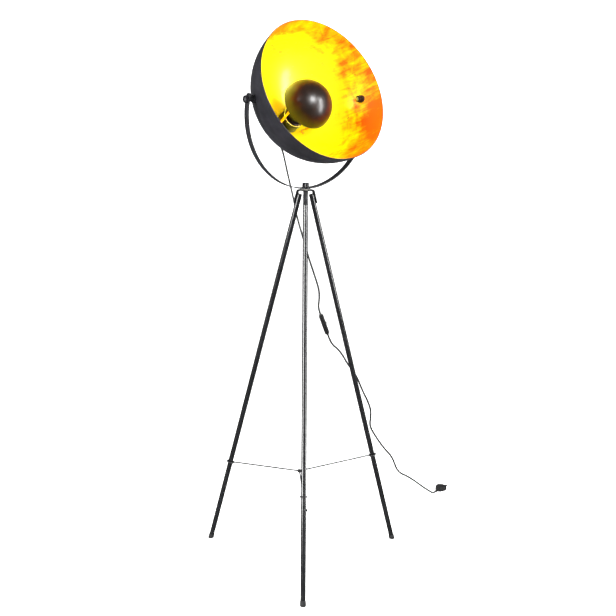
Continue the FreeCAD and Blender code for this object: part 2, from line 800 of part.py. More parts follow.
def lampHolder():
    cupLow = "(-1 * %s)" % chord(DOME_INSIDE, "cup_radius")
    cupTop = "(%s + cup_height)" % cupLow
    neck = "(holder_radius + pin_clearance)"
    cup = turnedBody(
        "holder_cup",
        [
            ("cup_radius - cup_wall", cupLow),
            ("cup_radius", cupLow),
            ("cup_radius", cupTop + " - cup_shoulder"),
            ("cup_radius - cup_shoulder", cupTop),
            (neck, cupTop),
            (neck, cupTop + " - cup_wall"),
            ("cup_radius - cup_shoulder - cup_wall / 2", cupTop + " - cup_wall"),
            ("cup_radius - cup_wall", cupTop + " - cup_shoulder - cup_wall / 2"),
        ],
    )
    keep(cup, "holder_cup", lamp)
    front = "(%s - holder_setback)" % RIM_LEVEL
    floor = "(%s - socket_depth)" % front
    back = "(%s - holder_length)" % front
    holder = turnedBody(
        "lamp_holder",
        [
            ("nipple_diameter / 2", back),
            ("holder_radius - holder_chamfer", back),
            ("holder_radius", back + " + holder_chamfer"),
            ("holder_radius", front + " - holder_chamfer"),
            ("holder_radius - holder_chamfer", front),
            ("socket_radius", front),
            ("socket_radius", floor),
            ("nipple_diameter / 2", floor),
        ],
    )
    keep(holder, "lamp_holder", lamp)
    thread = turnedBody(
        "screw_shell",
        rectangle(
            "socket_radius - pin_clearance - thread_wall",
            "socket_radius - pin_clearance",
            floor + " + contact_height",
            front + " - thread_lip",
        ),
    )
    keep(thread, "screw_shell", lamp)
    contact = turnedBody(
        "centre_contact",
        [
            ("0", floor),
            ("nipple_diameter / 2 + contact_radius", floor),
            ("nipple_diameter / 2 + contact_radius", floor + " + contact_height / 3"),
            ("contact_radius", floor + " + contact_height / 3"),
            ("contact_radius / 2", floor + " + contact_height"),
            ("0", floor + " + contact_height"),
        ],
    )
    keep(contact, "centre_contact", lamp)
    nipple = turnedBody(
        "nipple",
        rectangle(
            "nipple_bore / 2",
            "nipple_diameter / 2",
            "-1 * %s - gland_base_height" % DOME_RADIUS,
            back + " + nipple_bite",
        ),
    )
    keep(nipple, "nipple", lamp)
    seat = "(-1 * %s)" % chord(DOME_INSIDE, "nipple_nut_width / 2")
    keep(
        hexNut("nipple_nut", "nipple_nut_width", seat, "nipple_nut_height", "nipple_diameter"),
        "nipple_nut",
        lamp,
    )
    outer = "(-1 * %s)" % DOME_RADIUS
    gland = turnedBody(
        "cord_gland",
        [
            ("nipple_diameter / 2", outer),
            ("gland_base_radius", outer),
            ("gland_base_radius", outer + " - gland_base_height"),
            ("gland_neck_radius", outer + " - gland_base_height"),
            ("gland_tip_radius", outer + " - gland_length"),
            ("0", outer + " - gland_length"),
            ("0", outer + " - gland_base_height - gland_floor"),
            ("nipple_diameter / 2", outer + " - gland_base_height - gland_floor"),
        ],
    )
    keep(gland, "cord_gland", lamp)


def pivots(padInside, padOutside):
    half = "(pivot_flange_diameter / 2)"
    nearWall = chord(DOME_INSIDE, "%s + %s" % (DOME_CENTRE, half))
    farWall = chord(DOME_RADIUS, "%s - %s" % (DOME_CENTRE, half))
    seatFace = "(%s - pivot_seat_thickness)" % nearWall
    flangeFace = "(%s + pivot_flange_rim)" % farWall
    bore = "pivot_stud_diameter / 2"
    knobLow = "(%s + running_gap)" % padOutside
    knobTop = "(%s + knob_thickness)" % knobLow
    recess = "(%s - knob_recess)" % knobTop
    tip = "(%s - pivot_nut_height - pivot_stud_tip)" % seatFace
    for name, frame in sides.items():
        wall = frame.inverse() * shade
        stud = turnedBody(
            "pivot_stud_" + name,
            [
                ("0", tip),
                (bore + " - stud_tip_chamfer", tip),
                (bore, tip + " + stud_tip_chamfer"),
                (bore, recess + " + stud_show - stud_crown"),
                (bore + " - stud_crown", recess + " + stud_show"),
                ("0", recess + " + stud_show"),
            ],
        )
        keep(stud, "pivot_stud_" + name, frame)
        nut = hexNut(
            "pivot_nut_" + name,
            "pivot_nut_width",
            "(%s - pivot_nut_height)" % seatFace,
            "pivot_nut_height",
            "pivot_stud_diameter",
        )
        keep(nut, "pivot_nut_" + name, frame)
        ring = turnedBody("seatRing" + name.capitalize(), rectangle(bore, half, seatFace, farWall))
        inside = sphere("seatWall" + name.capitalize(), DOME_INSIDE, wall)
        keep(common("pivot_seat_" + name, ring, inside), "pivot_seat_" + name, frame)
        ring = turnedBody("flangeRing" + name.capitalize(), rectangle(bore, half, nearWall, flangeFace))
        outside = sphere("flangeWall" + name.capitalize(), DOME_RADIUS, wall)
        keep(cut("pivot_flange_" + name, ring, [outside]), "pivot_flange_" + name, frame)
        spacer = turnedBody(
            "pivot_spacer_" + name,
            rectangle(bore, "spacer_diameter / 2", flangeFace, padInside + " - running_gap"),
        )
        keep(spacer, "pivot_spacer_" + name, frame)
        knob = turnedBody(
            "tilt_knob_" + name,
            [
                (bore + " + pin_clearance", knobLow),
                ("knob_diameter / 2 - nut_chamfer", knobLow),
                ("knob_diameter / 2", knobLow + " + nut_chamfer"),
                ("knob_diameter / 2", knobTop + " - knob_chamfer"),
                ("knob_diameter / 2 - knob_chamfer", knobTop),
                ("knob_recess_diameter / 2", knobTop),
                ("knob_recess_diameter / 2", recess),
                (bore + " + pin_clearance", recess),
            ],
        )
        flute(knob, "knob_diameter", 16)
        keep(knob, "tilt_knob_" + name, frame)


# ---- cord --------------------------------------------------------------------------------

# The cord's route from the shade to the floor, relative to the tripod's axis on the floor. It
# starts at the gland, and passes from the shade to the yoke and from the yoke to the stand
# half way between one list's last point and the next one's first. There it is parted by a
# cylinder about the pivots' line and by a level plane, so the ends slide past each other.
SHADE_ROUTE = [(-83, 120, 1210), (-79, 123, 1193), (-67, 119, 1175)]
YOKE_ROUTE = [(-60, 115, 1147), (-48, 109, 1094), (-35, 104, 1043), (-24, 102, 988), (-13, 100, 950)]
STAND_ROUTE = [
    (1, 100, 906),
    (10, 101, 872),
    (25, 104, 828),
    (41.5, 106, 778),
    (43, 107, 751),
    (40, 106, 731),
]
SWITCH_CENTRE = (57.3, 105, 675.5)
SWITCH_LEAN = (-22.5, 0, 61)
TAIL_ROUTE = [
    (81, 107, 616),
    (100, 109, 600),
    (113, 112, 582),
    (129, 116, 553),
    (155, 126, 518),
    (173, 136, 471),
    (189, 147, 439),
    (201, 162, 405),
    (202, 181, 374),
    (201, 204, 346),
    (210, 240, 318),
    (230, 270, 280),
    (254, 302, 240),
    (283, 348, 199),
    (302, 365, 143),
    (339, 410, 114),
    (376, 455, 76),
    (404, 508, 41),
    (430, 533, 17),
    (441, 551, 6.85),
]
PLUG_START = (452, 571, 6.85)


def stretch(label, route, frame, others=()):
    # A round tube along straight runs joined by tangent arcs, each as large as its runs allow,
    # kept out of the others.
    radius = number("cord_diameter / 2")
    edges = []
    radii = []
    here = route[0]
    for before, corner, after in zip(route, route[1:], route[2:]):
        arrive = (corner - before).normalize()
        leave = (after - corner).normalize()
        half = arrive.getAngle(leave) / 2
        cutback = 0.45 * min((corner - before).Length, (after - corner).Length)
        bend = cutback / math.tan(half)
        start = corner - arrive * cutback
        end = corner + leave * cutback
        middle = corner + (leave - arrive).normalize() * (bend / math.cos(half) - bend)
        edges.append(Part.LineSegment(here, start).toShape())
        edges.append(Part.Arc(start, middle, end).toShape())
        radii.append(round(bend, 1))
        here = end
    edges.append(Part.LineSegment(here, route[-1]).toShape())
    path = Part.Wire(edges)
    ring = Part.Circle(route[0], route[1] - route[0], radius).toShape()
    tube = path.makePipeShell([Part.Wire([ring])], True, False)
    share = tube.Volume / (math.pi * radius**2 * path.Length)
    print(label, "is", round(path.Length, 1), "long, volume over section x length", round(share, 4))
    print("  bend radii", radii)
    for other in others:
        tube = tube.cut(other).Solids[0]
    thing = doc.addObject("Part::Feature", label)
    thing.Shape = tube
    keep(thing, label, frame)


def cord():
    tip = stand.inverse() * lamp * moved(0, 0, number("-1 * %s - gland_length" % DOME_RADIUS))
    leadIn = tip.multVec(Vector(0, 0, number("-3.3 * cord_diameter")))
    lean = Vector(*SWITCH_LEAN)
    switch = Placement(Vector(*SWITCH_CENTRE), Rotation(X, Vector(), lean, "ZXY"))
    reach = number("switch_length / 2 + collar_length")
    lead = number("switch_length / 2 + collar_length + 2 * cord_diameter")
    shadeRoute, yokeRoute, standRoute, tailRoute = (
        [Vector(*point) for point in route] for route in (SHADE_ROUTE, YOKE_ROUTE, STAND_ROUTE, TAIL_ROUTE)
    )
    shadeEnd = (shadeRoute[-1] + yokeRoute[0]) / 2
    yokeEnd = (yokeRoute[-1] + standRoute[0]) / 2
    past = number("cord_diameter")
    shadePast = (yokeRoute[0] - shadeRoute[-1]).normalize() * past
    yokePast = (standRoute[0] - yokeRoute[-1]).normalize() * past
    gap = number("running_gap / 2")
    tilting = stand.inverse() * sides["left"]
    reached = tilting.inverse().multVec(shadeEnd)
    splitRadius = math.hypot(reached.x, reached.y)
    wide = number("foot_reach")
    inner, outer, whole = (
        Part.makeCylinder(radius, 2 * wide, Vector(0, 0, -wide))
        for radius in (splitRadius - gap, splitRadius + gap, wide)
    )
    beyond = whole.cut(inner)
    for solid in (beyond, outer):
        solid.Placement = tilting * solid.Placement
    above = Part.makeBox(2 * wide, 2 * wide, wide, Vector(-wide, -wide, yokeEnd.z - gap))
    below = Part.makeBox(2 * wide, 2 * wide, wide, Vector(-wide, -wide, yokeEnd.z + gap - wide))
    plugStart = Vector(*PLUG_START)
    stretch("cord_at_shade", [tip.Base, leadIn] + shadeRoute + [shadeEnd + shadePast], stand, [beyond])
    yokeRun = [shadeEnd - shadePast] + yokeRoute + [yokeEnd + yokePast]
    stretch("cord_at_yoke", yokeRun, stand, [outer, below])
    into = [switch.multVec(Vector(0, 0, lead)), switch.multVec(Vector(0, 0, reach))]
    stretch("cord_at_stand", [yokeEnd - yokePast] + standRoute + into, stand, [above])
    onwards = [switch.multVec(Vector(0, 0, -reach)), switch.multVec(Vector(0, 0, -lead))]
    stretch("cord_to_plug", onwards + tailRoute + [plugStart], stand)
    inlineSwitch(stand * switch)
    heading = plugStart - tailRoute[-1]
    plug(stand * Placement(plugStart, Rotation(Vector(), Z, heading, "ZYX")))


def inlineSwitch(frame):
    # two half shells meet on the YZ plane; the slider looks out of the +X side
    end = "(switch_length / 2)"
    side = "(switch_width / 2)"
    shape = [
        (side + " - switch_bevel", "-1 * " + end),
        (side, "switch_bevel - " + end),
        (side, end + " - switch_bevel"),
        (side + " - switch_bevel", end),
        ("switch_bevel - " + side, end),
        ("-1 * " + side, end + " - switch_bevel"),
        ("-1 * " + side, "switch_bevel - " + end),
        ("switch_bevel - " + side, "-1 * " + end),
    ]
    half = "switch_thickness / 2"
    cover = paddedBody("switchCoverShell", "YZ_Plane", shape, half, "One side")
    base = paddedBody("switchBaseShell", "YZ_Plane", shape, half, "One side")
    base.Placement = moved(number("-switch_thickness / 2"), 0, 0)
    collars = [
        cylinder("collarUpper", "collar_radius", end, end + " + collar_length"),
        cylinder("collarLower", "collar_radius", "-1 * %s - collar_length" % end, "-1 * " + end),
    ]
    slot = box(
        "sliderSlot",
        "slot_depth * 2",
        "slot_width",
        "slot_length",
        moved(
            number("switch_thickness / 2 - slot_depth"), number("-slot_width / 2"), number("-slot_length / 2")
        ),
    )
    screwPlace = moved(0, 0, number("-switch_screw_offset")) * turnedBy(Y, 90)
    screwFloor = half + " - switch_screw_recess"
    recess = cylinder(
        "screwRecess", "switch_screw_diameter / 2 + pin_clearance", screwFloor, "switch_thickness", screwPlace
    )
    keep(cut("switch_cover", cover, [slot, recess]), "switch_cover", frame)
    keep(fused("switch_base", [base] + collars), "switch_base", frame)
    screw = turnedBody(
        "switch_screw",
        rectangle("0", "switch_screw_diameter / 2", screwFloor, half + " - switch_screw_sink"),
    )
    keep(screw, "switch_screw", frame * screwPlace)
    # the slider's ridge is a low roof across the travel
    floor = "(switch_thickness / 2 - slot_depth + running_gap)"
    crest = "(switch_thickness / 2 + slider_rise)"
    slider = paddedBody(
        "switch_slider",
        "XZ_Plane",
        [
            (floor, "-slider_length / 2"),
            ("switch_thickness / 2", "-slider_length / 2"),
            (crest, "-slider_length / 10"),
            (crest, "slider_length / 10"),
            ("switch_thickness / 2", "slider_length / 2"),
            (floor, "slider_length / 2"),
        ],
        "slot_width - 2 * running_gap",
    )
    keep(slider, "switch_slider", frame * moved(0, 0, number("slider_offset")))


def plug(frame):
    # Z runs on from the cord, X across the two pins, Y up
    relief = turnedBody(
        "plugRelief",
        [
            ("0", "0"),
            ("cord_diameter / 2 + plug_relief_wall", "0"),
            ("plug_thickness / 2 - plug_relief_wall * 2", "plug_relief_length"),
            ("0", "plug_relief_length"),
        ],
    )
    front = "(plug_relief_length + plug_length)"
    shell = paddedBody(
        "plugShell",
        "XZ_Plane",
        [
            ("plug_nose_width / -2 + plug_tail_corner", "plug_relief_length - plug_relief_overlap"),
            ("plug_nose_width / 2 - plug_tail_corner", "plug_relief_length - plug_relief_overlap"),
            ("plug_width / 2", "plug_relief_length + plug_length / 3"),
            ("plug_width / 2", front + " - plug_front_corner"),
            ("plug_nose_width / 2", front),
            ("plug_nose_width / -2", front),
            ("plug_width / -2", front + " - plug_front_corner"),
            ("plug_width / -2", "plug_relief_length + plug_length / 3"),
        ],
        "plug_thickness",
    )
    pins = []
    for name, side in (("left", -1), ("right", 1)):
        place = moved(side * number("pin_spacing / 2"), 0, 0)
        pin_ = turnedBody(
            "plug_pin_" + name,
            [
                ("0", front + " - pin_root"),
                ("pin_diameter / 2", front + " - pin_root"),
                ("pin_diameter / 2", front + " + pin_length - pin_diameter / 4"),
                ("pin_diameter / 4", front + " + pin_length"),
                ("0", front + " + pin_length"),
            ],
        )
        keep(pin_, "plug_pin_" + name, frame * place)
        root = front + " - pin_root"
        pins.append(cylinder("pinSocket" + name, "pin_diameter / 2", root, front + " + pin_root", place))
    keep(cut("plug_body", fused("plugSolid", [shell, relief]), pins), "plug_body", frame)


# ---- the lamp ----------------------------------------------------------------------------

hubPlate()
for legName, legFrame in legs.items():
    leg(legName, legFrame)
brace()
swivel()
armInside, armOutside = yoke()
domeShell()
glareCap()
lampHolder()
pivots(armInside, armOutside)
cord()
doc.recompute()

for thing in doc.Objects:
    if "Invalid" in thing.State or "Error" in thing.State:
        raise RuntimeError("%s did not build" % thing.Label)
for thing in pieces:
    if thing.Shape.isNull() or not thing.Shape.isValid() or not thing.Shape.Solids:
        raise RuntimeError("%s has no sound shape" % thing.Label)
for thing in pieces:
    thing.Shape.exportStep("parts/%s.step" % thing.Label)
print(len(pieces), "sub-parts")
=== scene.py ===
import json
import math

import bpy

from mathutils import Matrix, Vector


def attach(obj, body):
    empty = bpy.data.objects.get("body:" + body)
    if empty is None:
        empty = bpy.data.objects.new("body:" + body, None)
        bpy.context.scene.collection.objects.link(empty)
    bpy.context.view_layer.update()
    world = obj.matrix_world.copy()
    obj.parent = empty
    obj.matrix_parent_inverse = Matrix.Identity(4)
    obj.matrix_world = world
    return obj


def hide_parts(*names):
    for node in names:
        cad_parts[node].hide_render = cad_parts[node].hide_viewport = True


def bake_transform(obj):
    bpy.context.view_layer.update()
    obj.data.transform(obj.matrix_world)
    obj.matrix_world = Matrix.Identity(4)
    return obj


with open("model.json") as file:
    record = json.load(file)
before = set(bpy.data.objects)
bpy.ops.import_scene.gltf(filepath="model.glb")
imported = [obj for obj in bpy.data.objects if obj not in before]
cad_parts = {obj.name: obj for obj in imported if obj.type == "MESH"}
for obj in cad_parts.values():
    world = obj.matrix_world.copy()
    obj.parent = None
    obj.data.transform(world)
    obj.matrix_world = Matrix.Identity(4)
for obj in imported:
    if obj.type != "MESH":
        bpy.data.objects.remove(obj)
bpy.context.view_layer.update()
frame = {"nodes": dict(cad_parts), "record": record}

# sizes of the lamp that several pieces share, in millimetres
size = {
    "footReach": 317.9, "legTopReach": 18.9, "legTopHeight": 1058.5, "legTurn": 0.7, "tube": 14.5,
    "tubeWall": 1.5,
    "yokeLevel": 1077.4, "bossTop": 1079.8, "yokeHeading": -140.6,
    "yokeRake": 3.7, "yokeRadius": 210.8, "yokeDrop": 30.1, "aim": 25.5, "domeRadius": 200.26,
    "domeInside": 199.06,
    "rimRadius": 200.0, "rimLevel": -10.26, "domeCentre": 72.56, "lampDroop": 4.2,
    "lampSidestep": 2.0, "cord": 5.4, "runningGap": 0.3,
}
mm = 0.001


def shifted(x, y, z):
    return Matrix.Translation((x * mm, y * mm, z * mm))


def turned(axis, degrees):
    return Matrix.Rotation(math.radians(degrees), 4, axis)


# the frames that the pieces stand in
splay = math.degrees(math.atan((size["footReach"] - size["legTopReach"]) / size["legTopHeight"]))
legLength = size["legTopHeight"] / math.cos(math.radians(splay))
standFrame = shifted(0, size["footReach"] / 4, 0)
hubFrame = standFrame @ turned("Z", size["legTurn"] - 90)
yokeFoot = standFrame @ shifted(0, 0, size["yokeLevel"])
yokeFrame = yokeFoot @ turned("Z", size["yokeHeading"]) @ turned("X", -size["yokeRake"])
pivotFrame = yokeFrame @ shifted(0, 0, size["yokeRadius"] + size["yokeDrop"])
headFrame = pivotFrame @ turned("X", size["yokeRake"] + size["aim"] - 90)
shadeFrame = headFrame @ shifted(0, 0, size["domeCentre"])
lampFrame = shadeFrame @ turned("X", size["lampDroop"]) @ turned("Y", size["lampSidestep"])
legFrames = {
    name: hubFrame @ turned("Z", 120 * step) @ shifted(size["footReach"], 0, 0) @ turned("Y", -splay)
    for step, name in enumerate(("front", "right", "left"))
}

cameraSettings = {
    "place": (0.0, -3.164725, 1.3625), "yaw": -0.0031, "pitch": -0.1888, "roll": 0.0104,
    "lens": 69.10, "sensor": 36.0, "farthest": 50,
}
bpy.ops.object.camera_add(location=cameraSettings["place"])
camera = bpy.context.object
camera.matrix_world = (
    Matrix.Translation(cameraSettings["place"])
    @ Matrix.Rotation(cameraSettings["yaw"], 4, "Z")
    @ Matrix.Rotation(math.pi / 2 + cameraSettings["pitch"], 4, "X")
    @ Matrix.Rotation(cameraSettings["roll"], 4, "Z")
)
camera.data.lens = cameraSettings["lens"]
camera.data.sensor_width = cameraSettings["sensor"]
camera.data.clip_end = cameraSettings["farthest"]
bpy.context.scene.camera = camera
bpy.context.scene.view_settings.view_transform = "Standard"


def hexColor(text):
    # a colour as it is seen on the screen, "#RRGGBB", in the linear values that shaders take
    parts = [int(text[i : i + 2], 16) / 255 for i in (1, 3, 5)]
    return tuple(c / 12.92 if c <= 0.04045 else ((c + 0.055) / 1.055) ** 2.4 for c in parts) + (1.0,)


def grow(tree, kind, values=None, **attributes):
    # adds a node; a value that is another node's output is linked, any other is set
    node = tree.nodes.new(kind)
    for key, value in attributes.items():
        setattr(node, key, value)
    for socket, value in (values or {}).items():
        if isinstance(value, bpy.types.NodeSocket):
            tree.links.new(value, node.inputs[socket])
        else:
            node.inputs[socket].default_value = value
    return node


studioSettings = {
    "world": 0.16,
    "board": 30,
    "backdropAt": 9,
    "backdropGlow": 1.0,
    "floorGlow": 0.8,
    "lights": {
        "softboxLeft": {"place": (-2.3, -1.9, 1.7), "aim": (0.0, 0.1, 0.9), "size": (0.9, 2.6), "power": 230},
        "softboxRight": {"place": (2.5, -0.9, 1.4), "aim": (0.0, 0.1, 0.8), "size": (0.5, 2.4), "power": 110},
        "softboxKey": {
            "place": (1.25, -1.9, 2.5), "aim": (0.05, 0.02, 1.35), "size": (0.9, 0.9), "power": 80,
        },
    },
}
world = bpy.data.worlds.new("studio")
bpy.context.scene.world = world
world.use_nodes = True
world.node_tree.nodes["Background"].inputs["Color"].default_value = (1.0, 1.0, 1.0, 1.0)
world.node_tree.nodes["Background"].inputs["Strength"].default_value = studioSettings["world"]


def glowing(name, color, strength):
    # painted studio board: matt white emulsion that a lamp outside the picture keeps bright
    material = bpy.data.materials.new(name)
    material.use_nodes = True
    shader = material.node_tree.nodes["Principled BSDF"]
    shader.inputs["Base Color"].default_value = hexColor(color)
    shader.inputs["Roughness"].default_value = 0.9
    shader.inputs["Emission Color"].default_value = hexColor(color)
    shader.inputs["Emission Strength"].default_value = strength
    return material


bpy.ops.mesh.primitive_plane_add(size=studioSettings["board"], location=(0, 0, 0))
floor = bpy.context.object
floor.name = "studioFloor"
floor.data.materials.append(glowing("floorBoard", "#F6F6F6", studioSettings["floorGlow"]))
backdropPlace = (0, studioSettings["backdropAt"], 0)
bpy.ops.mesh.primitive_plane_add(
    size=studioSettings["board"], location=backdropPlace, rotation=(math.pi / 2, 0, 0),
)
backdrop = bpy.context.object
backdrop.name = "studioBackdrop"
backdrop.data.materials.append(glowing("backdropBoard", "#FFFFFF", studioSettings["backdropGlow"]))
# the lamp's blacks don't mirror the boards, as if black card stood between them
floor.visible_glossy = False
backdrop.visible_glossy = False
for lightName, light in studioSettings["lights"].items():
    bpy.ops.object.light_add(type="AREA", location=light["place"])
    lamp = bpy.context.object
    lamp.name = lightName
    lamp.rotation_euler = (Vector(light["aim"]) - Vector(light["place"])).to_track_quat("-Z", "Y").to_euler()
    lamp.data.shape = "RECTANGLE"
    lamp.data.size, lamp.data.size_y = light["size"]
    lamp.data.energy = light["power"]
print("studio is set")


# points that lie nearer together than this become one
mergeDistance = 0.002 * mm


def startVertex(name, spot):
    # a mesh of one vertex, in edit mode
    bpy.ops.object.select_all(action="DESELECT")
    bpy.ops.mesh.primitive_plane_add(size=mm, location=(0, 0, 0))
    piece = bpy.context.object
    piece.name = name
    bpy.ops.object.mode_set(mode="EDIT")
    bpy.ops.mesh.select_mode(type="VERT")
    bpy.ops.mesh.select_all(action="SELECT")
    bpy.ops.mesh.merge(type="CENTER")
    bpy.ops.transform.translate(value=[v * mm for v in spot])
    return piece


def chain(points, closed=False):
    # draws on from the vertex through the other points, which lie in the XZ plane
    for before, after in zip(points, points[1:]):
        step = ((after[0] - before[0]) * mm, 0, (after[1] - before[1]) * mm)
        bpy.ops.mesh.extrude_vertices_move(TRANSFORM_OT_translate={"value": step})
    if closed:
        step = ((points[0][0] - points[-1][0]) * mm, 0, (points[0][1] - points[-1][1]) * mm)
        bpy.ops.mesh.extrude_vertices_move(TRANSFORM_OT_translate={"value": step})


def tidyMesh():
    # the last step in edit mode: merges doubles and turns the faces outwards
    bpy.ops.mesh.select_all(action="SELECT")
    bpy.ops.mesh.remove_doubles(threshold=mergeDistance)
    bpy.ops.mesh.normals_make_consistent(inside=False)
    bpy.ops.object.mode_set(mode="OBJECT")


def choose(piece):
    # makes the piece the only selected and active one
    bpy.ops.object.select_all(action="DESELECT")
    piece.select_set(True)
    bpy.context.view_layer.objects.active = piece


def smoothed(piece, angle=35):
    choose(piece)
    bpy.ops.object.shade_smooth_by_angle(angle=math.radians(angle))


def edged(piece, width, angle=40):
    # breaks the piece's sharp edges
    choose(piece)
    bevel = piece.modifiers.new("edge", "BEVEL")
    bevel.width = width * mm
    bevel.segments = 2
    bevel.limit_method = "ANGLE"
    bevel.angle_limit = math.radians(angle)
    bpy.ops.object.modifier_apply(modifier=bevel.name)


def placed(piece, matrix):
    # moves a piece from its own frame into the lamp and leaves its object at the origin
    choose(piece)
    piece.matrix_world = matrix
    bpy.ops.object.transform_apply(location=True, rotation=True, scale=True)
    return piece


def twinOf(piece, name):
    # a copy with a mesh of its own
    twin = piece.copy()
    twin.data = piece.data.copy()
    twin.name = name
    bpy.context.scene.collection.objects.link(twin)
    return twin


def arc(centre, radius, first, last, steps):
    # corners along a part of a circle, with its angles in degrees
    turn = [math.radians(first + (last - first) * step / steps) for step in range(steps + 1)]
    return [(centre[0] + radius * math.cos(a), centre[1] + radius * math.sin(a)) for a in turn]


def spun(name, profile, segments, closed=True):
    # a lathe piece about Z from corners (radius, height) in millimetres
    piece = startVertex(name, (profile[0][0], 0, profile[0][1]))
    chain(profile, closed)
    bpy.ops.mesh.select_all(action="SELECT")
    bpy.ops.mesh.spin(steps=segments, angle=2 * math.pi, center=(0, 0, 0), axis=(0, 0, 1))
    tidyMesh()
    smoothed(piece)
    return piece


def pick(piece, test):
    # selects the vertices that the test takes, back in edit mode
    bpy.ops.object.mode_set(mode="EDIT")
    bpy.ops.mesh.select_mode(type="VERT")
    bpy.ops.mesh.select_all(action="DESELECT")
    bpy.ops.object.mode_set(mode="OBJECT")
    for vertex in piece.data.vertices:
        vertex.select = bool(test(vertex.co / mm))
    bpy.ops.object.mode_set(mode="EDIT")


cornerReach = 0.01  # how near to a corner a vertex counts as the corner, in millimetres


def strap(name, points, width, thickness, corner, edge):
    # a bent strip of sheet: its middle line lies in the XZ plane, its width along Y
    piece = startVertex(name, (points[0][0], -width / 2, points[0][1]))
    chain(points)
    bpy.ops.mesh.select_all(action="SELECT")
    bpy.ops.mesh.extrude_region_move(TRANSFORM_OT_translate={"value": (0, width * mm, 0)})
    bpy.ops.object.mode_set(mode="OBJECT")
    ends = [Vector((x, y, z)) for x, z in (points[0], points[-1]) for y in (-width / 2, width / 2)]
    pick(piece, lambda spot: min((spot - end).length for end in ends) < cornerReach)
    bpy.ops.mesh.bevel(offset=corner * mm, segments=8, affect="VERTICES")
    tidyMesh()
    choose(piece)
    wall = piece.modifiers.new("wall", "SOLIDIFY")
    wall.thickness = thickness * mm
    wall.offset = 0
    bpy.ops.object.modifier_apply(modifier=wall.name)
    edged(piece, edge, angle=50)
    smoothed(piece)
    return piece


def worn(piece, material, slot, body, *nodes):
    # gives a finished piece its material, and the body that it rides on
    piece.data.materials.clear()
    for entry in material if isinstance(material, (list, tuple)) else [material]:
        piece.data.materials.append(entry)
    if body:
        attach(piece, body)
    if nodes:
        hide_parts(*nodes)
    return piece


coatSettings = {
    "cloudEdges": (0.33, 0.68), "cloudDetail": 5.0, "cloudRoughness": 0.62, "glossShare": 2.6,
    "glossEdges": (0.3, 0.7),
}


def finish(name, look):
    # A plain coat or metal: cloudy colour, uneven gloss and a fine grain. Sizes in millimetres.
    material = bpy.data.materials.new(name)
    material.use_nodes = True
    tree = material.node_tree
    shader = tree.nodes["Principled BSDF"]
    spot = grow(tree, "ShaderNodeTexCoord").outputs["Object"]
    cloud = grow(
        tree, "ShaderNodeTexNoise",
        {
            "Vector": spot, "Scale": 1000 / look["cloud"],
            "Detail": coatSettings["cloudDetail"], "Roughness": coatSettings["cloudRoughness"],
        },
    ).outputs["Fac"]
    tone = grow(tree, "ShaderNodeValToRGB", {"Fac": cloud})
    first, last = tone.color_ramp.elements
    first.position, last.position = coatSettings["cloudEdges"]
    first.color = hexColor(look["color"])
    last.color = hexColor(look["tint"])
    tree.links.new(tone.outputs["Color"], shader.inputs["Base Color"])
    low, high = look["roughness"]
    glossScale = 1000 * coatSettings["glossShare"] / look["cloud"]
    gloss = grow(
        tree, "ShaderNodeTexNoise", {"Vector": spot, "Scale": glossScale, "Detail": 3.0},
    ).outputs["Fac"]
    glossLow, glossHigh = coatSettings["glossEdges"]
    spread = {"Value": gloss, "From Min": glossLow, "From Max": glossHigh, "To Min": low, "To Max": high}
    tree.links.new(grow(tree, "ShaderNodeMapRange", spread).outputs["Result"], shader.inputs["Roughness"])
    grain = grow(
        tree, "ShaderNodeTexNoise",
        {"Vector": spot, "Scale": 1000 / look["grain"], "Detail": 4.0},
    ).outputs["Fac"]
    bump = grow(tree, "ShaderNodeBump", {"Height": grain, "Strength": 1.0, "Distance": look["depth"] * mm})
    tree.links.new(bump.outputs["Normal"], shader.inputs["Normal"])
    shader.inputs["Metallic"].default_value = look.get("metallic", 0.0)
    shader.inputs["Coat Weight"].default_value = look.get("coat", 0.0)
    shader.inputs["Coat Roughness"].default_value = look.get("coatRoughness", 0.1)
    shader.inputs["Specular IOR Level"].default_value = look.get("specular", 0.5)
    return material


